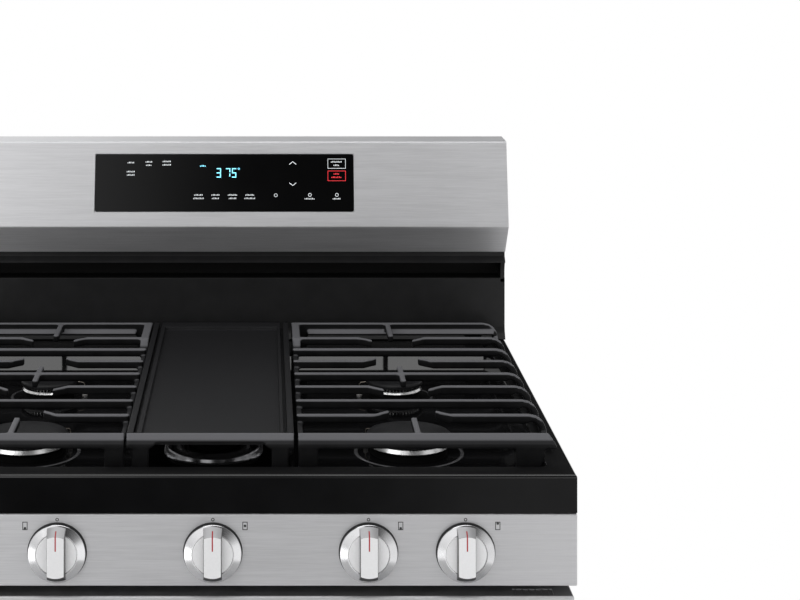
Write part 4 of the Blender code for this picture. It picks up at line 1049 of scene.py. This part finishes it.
def backguard():
    """The stainless cover with its display recess, and the black panel with the oven's vent."""
    face = FRONT + 0.592
    outline = [(face - 0.007, COVER_LOW.z), tuple(NOSE), tuple(COVER_TOP), (COVER_HIGH.y, COVER_HIGH.z)]
    outline.append((COVER_HIGH.y, COVER_LOW.z))
    shape = bmesh.new()
    outline_prism(shape, fillet(outline, (0.0008, 0.0016, 0.003, 0.003, 0.0)), 0, -HALF, HALF)
    cover = piece("cover_shell", shape, "cabinet", "stainless", None, ["backguard_cover"])
    glass_low, glass_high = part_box("display_glass")
    gap, beyond = 0.0004, 0.004
    recess = [(RECESS_LOW, RECESS_DEEP), (RECESS_TOP, RECESS_DEEP)]
    recess += [(RECESS_TOP, beyond), (RECESS_LOW, beyond)]
    corners = [on_slope(0.0, along, out).yz for along, out in recess]
    tool = bmesh.new()
    outline_prism(tool, corners, 0, glass_low.x - gap, glass_high.x + gap)
    apply_modifiers(cover, [boolean(cover, "DIFFERENCE", tool)])
    soften(cover, 0.0006, 3, 38.0)
    low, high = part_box("backguard_panel")
    bottom, top, back = RIM + 0.0825, RIM + 0.105, face + 0.028
    foot, lip = face - 0.008, face - 0.007
    outline = [(foot, low.z), (foot, low.z + 0.001), (face, low.z + 0.012), (face, bottom), (back, bottom)]
    outline += [(back, top), (lip, top - 0.001), (lip, top + 0.0005), (face, top + 0.007), (face, high.z)]
    outline += [(high.y, high.z), (high.y, low.z)]
    sizes = (0.0, 0.0, 0.006, 0.0014, 0.003, 0.003, 0.0006, 0.0006, 0.0008, 0.0, 0.001, 0.0)
    shape = bmesh.new()
    outline_prism(shape, fillet(outline, sizes), 0, -HALF, HALF)
    end = [(face, bottom - 0.006), (back, bottom - 0.006), (back, top + 0.001), (face - 0.0045, top + 0.001)]
    end = fillet([*end, (face, bottom + 0.01)], (0.0, 0.0, 0.0, 0.001, 0.004))
    for sign in (-1, 1):
        outline_prism(shape, end, 0, *sorted((sign * (HALF - 0.0002), sign * (HALF - 0.006))))
    panel = piece("lower_panel", shape, "cabinet", "black_enamel", "black_panel", ["backguard_panel"])

    # Painted shade: the inside of the vent slot is coloured near black.
    def in_slot(spot):
        return spot.center.y > face + 0.0005 and bottom - 0.001 < spot.center.z < top + 0.001

    repaint(panel, "soot", in_slot)
    soften(panel, 0.0008, 3, 38.0)


def slope_bar(shape, x0, along0, x1, along1):
    """Adds a thin flat bar on the display's glass."""
    out, half_deep = 0.00066, 0.0001
    made = bmesh.ops.create_cube(shape, size=1.0)["verts"]
    for vert in made:
        x = x1 if vert.co.x > 0 else x0
        along = along1 if vert.co.z > 0 else along0
        vert.co = on_slope(x, along, out + (half_deep if vert.co.y < 0 else -half_deep))


def label(shape, x, along, widths):
    """Lines of print, each shown as a row of short dashes instead of words."""
    line_pitch, dash_pitch, tall, short, filled = 0.0045, 0.0019, 0.0019, 0.0013, 0.5
    for number, width in enumerate(widths):
        height = along - line_pitch * number
        count = max(2, round(width / dash_pitch))
        pitch = width / count
        for dash in range(count):
            start = x - width / 2 + pitch * dash
            slope_bar(shape, start, height, start + pitch * filled, height + (tall if dash % 3 else short))


SEGMENTS = {"3": "abgcd", "5": "afgcd", "7": "abc"}


def digit(shape, x, along, name):
    """A seven-segment digit, from its lower left corner."""
    width, tall, line = 0.0058, 0.0124, 0.0012
    half, gap, end = tall / 2, line * 0.7, line * 1.2
    bars = {
        "a": (0.0, tall - line, width, tall),
        "g": (0.0, half - line / 2, width, half + line / 2),
        "d": (0.0, 0.0, width, line),
        "f": (0.0, half + gap, line, tall - end),
        "b": (width - line, half + gap, width, tall - end),
        "c": (width - line, end, width, half - gap),
    }
    for segment in SEGMENTS[name]:
        x0, low, x1, high = bars[segment]
        slope_bar(shape, x + x0, along + low, x + x1, along + high)


def stroke(shape, start, end, line):
    """A thin slanted line on the glass."""
    way = Vector((end[0] - start[0], end[1] - start[1])).normalized() * (line / 2)
    side = Vector((-way.y, way.x))
    flat = [Vector(start) + side, Vector(end) + side, Vector(end) - side, Vector(start) - side]
    upper = [shape.verts.new(on_slope(p.x, p.y, 0.00076)) for p in flat]
    lower = [shape.verts.new(on_slope(p.x, p.y, 0.00056)) for p in flat]
    join_rings(shape, [upper, lower])
    shape.faces.new(upper)
    shape.faces.new(lower[::-1])


def ring_of_strokes(shape, middle, radius, steps, line):
    ring = arc(middle, radius, 0.0, 360.0, steps)
    for start, end in zip(ring, ring[1:]):
        stroke(shape, start, end, line)


def display_glass():
    """The display's glass, flush in its recess, with rounded corners and a fine rounded edge."""
    low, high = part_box("display_glass")
    gap, corner = 0.0004, 0.0028
    left, right = low.x + corner, high.x - corner
    bottom, top = RECESS_LOW + gap + corner, RECESS_TOP - gap - corner
    outline = []
    for number, middle in enumerate(((right, top), (left, top), (left, bottom), (right, bottom))):
        outline += arc(middle, corner, 90.0 * number, 90.0 * number + 90.0, 6)
    shape = bmesh.new()
    back = [shape.verts.new(on_slope(x, along, -0.0032)) for x, along in outline]
    front = [shape.verts.new(on_slope(x, along, 0.0005)) for x, along in outline]
    join_rings(shape, [back, front])
    shape.faces.new(back)
    shape.faces.new(front)
    made = piece("display_face", shape, "cabinet", "black_glass", None, ["display_glass"])
    soften(made, 0.0004, 2, 40.0)


LABELS = (
    (-0.1253, 0.0845, 0.0095),
    (-0.1012, 0.0855, 0.0095, 0.008),
    (-0.0771, 0.086, 0.0115, 0.012),
    (-0.1253, 0.0725, 0.0115, 0.011),
    (-0.0343, 0.0415, 0.012, 0.0145),
    (-0.0115, 0.0415, 0.0115, 0.01),
    (0.0113, 0.0415, 0.013, 0.0105),
    (0.0343, 0.0415, 0.0125, 0.015),
    (0.1144, 0.0365, 0.014),
    (0.1505, 0.0365, 0.011),
    (0.1505, 0.0855, 0.015, 0.008),
)


def display():
    """The lit print on the glass: labels, two arrows, three rings, two frames and a few digits."""
    shape = bmesh.new()
    for x, along, *widths in LABELS:
        label(shape, x, along, widths)
    arrow_x, arrow_half = 0.0916, 0.0046
    for along, tip in ((0.083, 0.0036), (0.0585, -0.0036)):
        for side in (arrow_x - arrow_half, arrow_x + arrow_half):
            stroke(shape, (side, along), (arrow_x, along + tip), 0.0008)
    for middle in ((0.0688, 0.042), (0.1144, 0.0425), (0.1505, 0.0425)):
        ring_of_strokes(shape, middle, 0.0021, 10, 0.0006)
    frame_left, frame_right, line = 0.1385, 0.1626, 0.0005
    stop_mark = bmesh.new()
    for mark, bottom, top in ((shape, 0.0775, 0.0905), (stop_mark, 0.061, 0.0745)):
        for bar in border(frame_left, bottom, frame_right, top, line):
            slope_bar(mark, *bar)
    label(stop_mark, 0.1505, 0.0695, (0.008, 0.014))
    piece("display_print", shape, "cabinet", "black_glass", "pale_glow", (), 0)
    piece("display_stop_mark", stop_mark, "cabinet", "black_glass", "red_glow", (), 0)
    shape = bmesh.new()
    for x, name in ((-0.0105, "3"), (0.002, "7"), (0.01, "5")):
        digit(shape, x, 0.0655, name)
    ring_of_strokes(shape, (0.019, 0.0772), 0.0011, 8, 0.0005)
    label(shape, -0.0285, 0.08, (0.0085,))
    piece("display_digits", shape, "cabinet", "black_glass", "cyan_glow", (), 0)


# Studio.


def area_light(name, place, target, size, power):
    """A rectangular light that points at a place and doesn't show itself."""
    data = bpy.data.lights.new(name, "AREA")
    data.shape = "RECTANGLE"
    data.size, data.size_y = size
    data.energy = power
    made = add_object(name, data)
    made.location = place
    made.rotation_euler = (Vector(target) - Vector(place)).to_track_quat("-Z", "Y").to_euler()
    made.visible_camera = False


def sky_ramp(world, socket, stops):
    """A brightness that follows one part of the direction, from -1 to 1."""
    spread = node(world, "MapRange", {"From Min": -1.0, "Value": socket})
    ramp = node(world, "ValToRGB", {"Fac": spread.outputs[0]})
    ramp.color_ramp.interpolation = "EASE"
    points = ramp.color_ramp.elements
    while len(points) < len(stops):
        points.new(0.5)
    for point, (place, value) in zip(points, stops):
        point.position = (place + 1.0) / 2
        point.color = (value, value, value, 1.0)
    return ramp.outputs[0]


def blend_values(world, factor, low, high):
    return node(world, "Mix", {"Factor": factor, "A": low, "B": high}).outputs["Result"]


LIGHTS = (
    ("high_left", (-2.6, -2.2, 3.0), (2.4, 2.0), 17.0),
    ("overhead", (-0.1, -0.5, 3.1), (2.2, 1.1), 16.5),
    ("low_left", (-1.5, -1.7, 0.15), (0.7, 0.7), 3.0),
)
BELOW = ((-1.0, 0.6), (-0.5, 1.1), (-0.26, 1.0), (-0.11, 0.1))
BELOW += ((0.03, 0.3), (0.14, 1.5), (0.5, 1.5), (1.0, 0.6))
ABOVE = ((-1.0, 0.6), (-0.5, 1.2), (-0.14, 1.4), (0.0, 0.1))
ABOVE += ((0.2, 0.03), (0.42, 0.15), (0.65, 0.8), (1.0, 0.6))
TOP = 0.35


def studio():
    """A white background, a soft even sky, large soft lights and a pale floor."""
    world = bpy.data.worlds.new("studio")
    bpy.context.scene.world = world
    bpy.context.scene.view_settings.view_transform = "Standard"
    world.use_nodes = True
    world.node_tree.nodes.clear()
    white = (1.0, 1.0, 1.0, 1.0)
    direction = node(world, "SeparateXYZ", {0: node(world, "TexCoord").outputs["Generated"]}).outputs
    low_sky = sky_ramp(world, direction["X"], BELOW)
    high_sky = sky_ramp(world, direction["X"], ABOVE)
    lift = sky_ramp(world, direction["Z"], ((-0.1, 0.0), (0.06, 1.0)))
    top = sky_ramp(world, direction["Z"], ((0.45, 0.0), (0.75, 1.0)))
    level = blend_values(world, top, blend_values(world, lift, low_sky, high_sky), TOP)
    sky = node(world, "Background", {"Color": white, "Strength": level})
    backdrop = node(world, "Background", {"Color": white})
    seen = node(world, "LightPath").outputs["Is Camera Ray"]
    mix = node(world, "MixShader", {"Fac": seen, 1: sky.outputs[0], 2: backdrop.outputs[0]})
    node(world, "OutputWorld", {"Surface": mix.outputs[0]})
    middle = (0.0, 0.0, RIM)
    for name, place, size, power in LIGHTS:
        area_light(name, place, middle, size, power)
    floor = bmesh.new()
    bmesh.ops.create_circle(floor, cap_ends=True, radius=1.66, segments=128)
    mesh = bpy.data.meshes.new("floor")
    floor.to_mesh(mesh)
    floor.free()
    made = add_object("floor", mesh)
    mesh.materials.append(mottled("pale_floor", (0.86, 0.86, 0.86), 0.02, (0.45, 0.6), 3.0, 0.0))


def camera():
    """Level, above the cooktop and in front of the middle; the shift looks down and to the left."""
    data = bpy.data.cameras.new("camera")
    data.sensor_width = 36.0
    data.lens = 84.33
    data.shift_x = 0.169
    data.shift_y = -0.5125
    data.clip_end = 50.0
    made = add_object("camera", data)
    made.location = (0.0541, FRONT - 1.95, RIM + 0.6084)
    made.rotation_euler = (math.radians(90.0), 0.0, 0.0)
    bpy.context.scene.camera = made


def flatten_shading():
    """Keeps large flat faces flat beside rounded edges."""
    for made in bpy.context.scene.objects:
        if made.type == "MESH" and any(face.use_smooth for face in made.data.polygons):
            modify(made, "WEIGHTED_NORMAL", keep_sharp=True)


camera()
finish_cad_nodes()
cooktop()
grates()
griddle()
for spot in (*PLACES, "center"):
    burner(spot)
    knob(spot)
ridges()
for spot, turn in (("left_rear", 0.0), ("right_rear", 180.0), ("left_front", 35.0), ("right_front", 145.0)):
    electrode(spot, math.radians(turn))
fronts()
backguard()
panel_marks()
display_glass()
display()
flatten_shading()
studio()
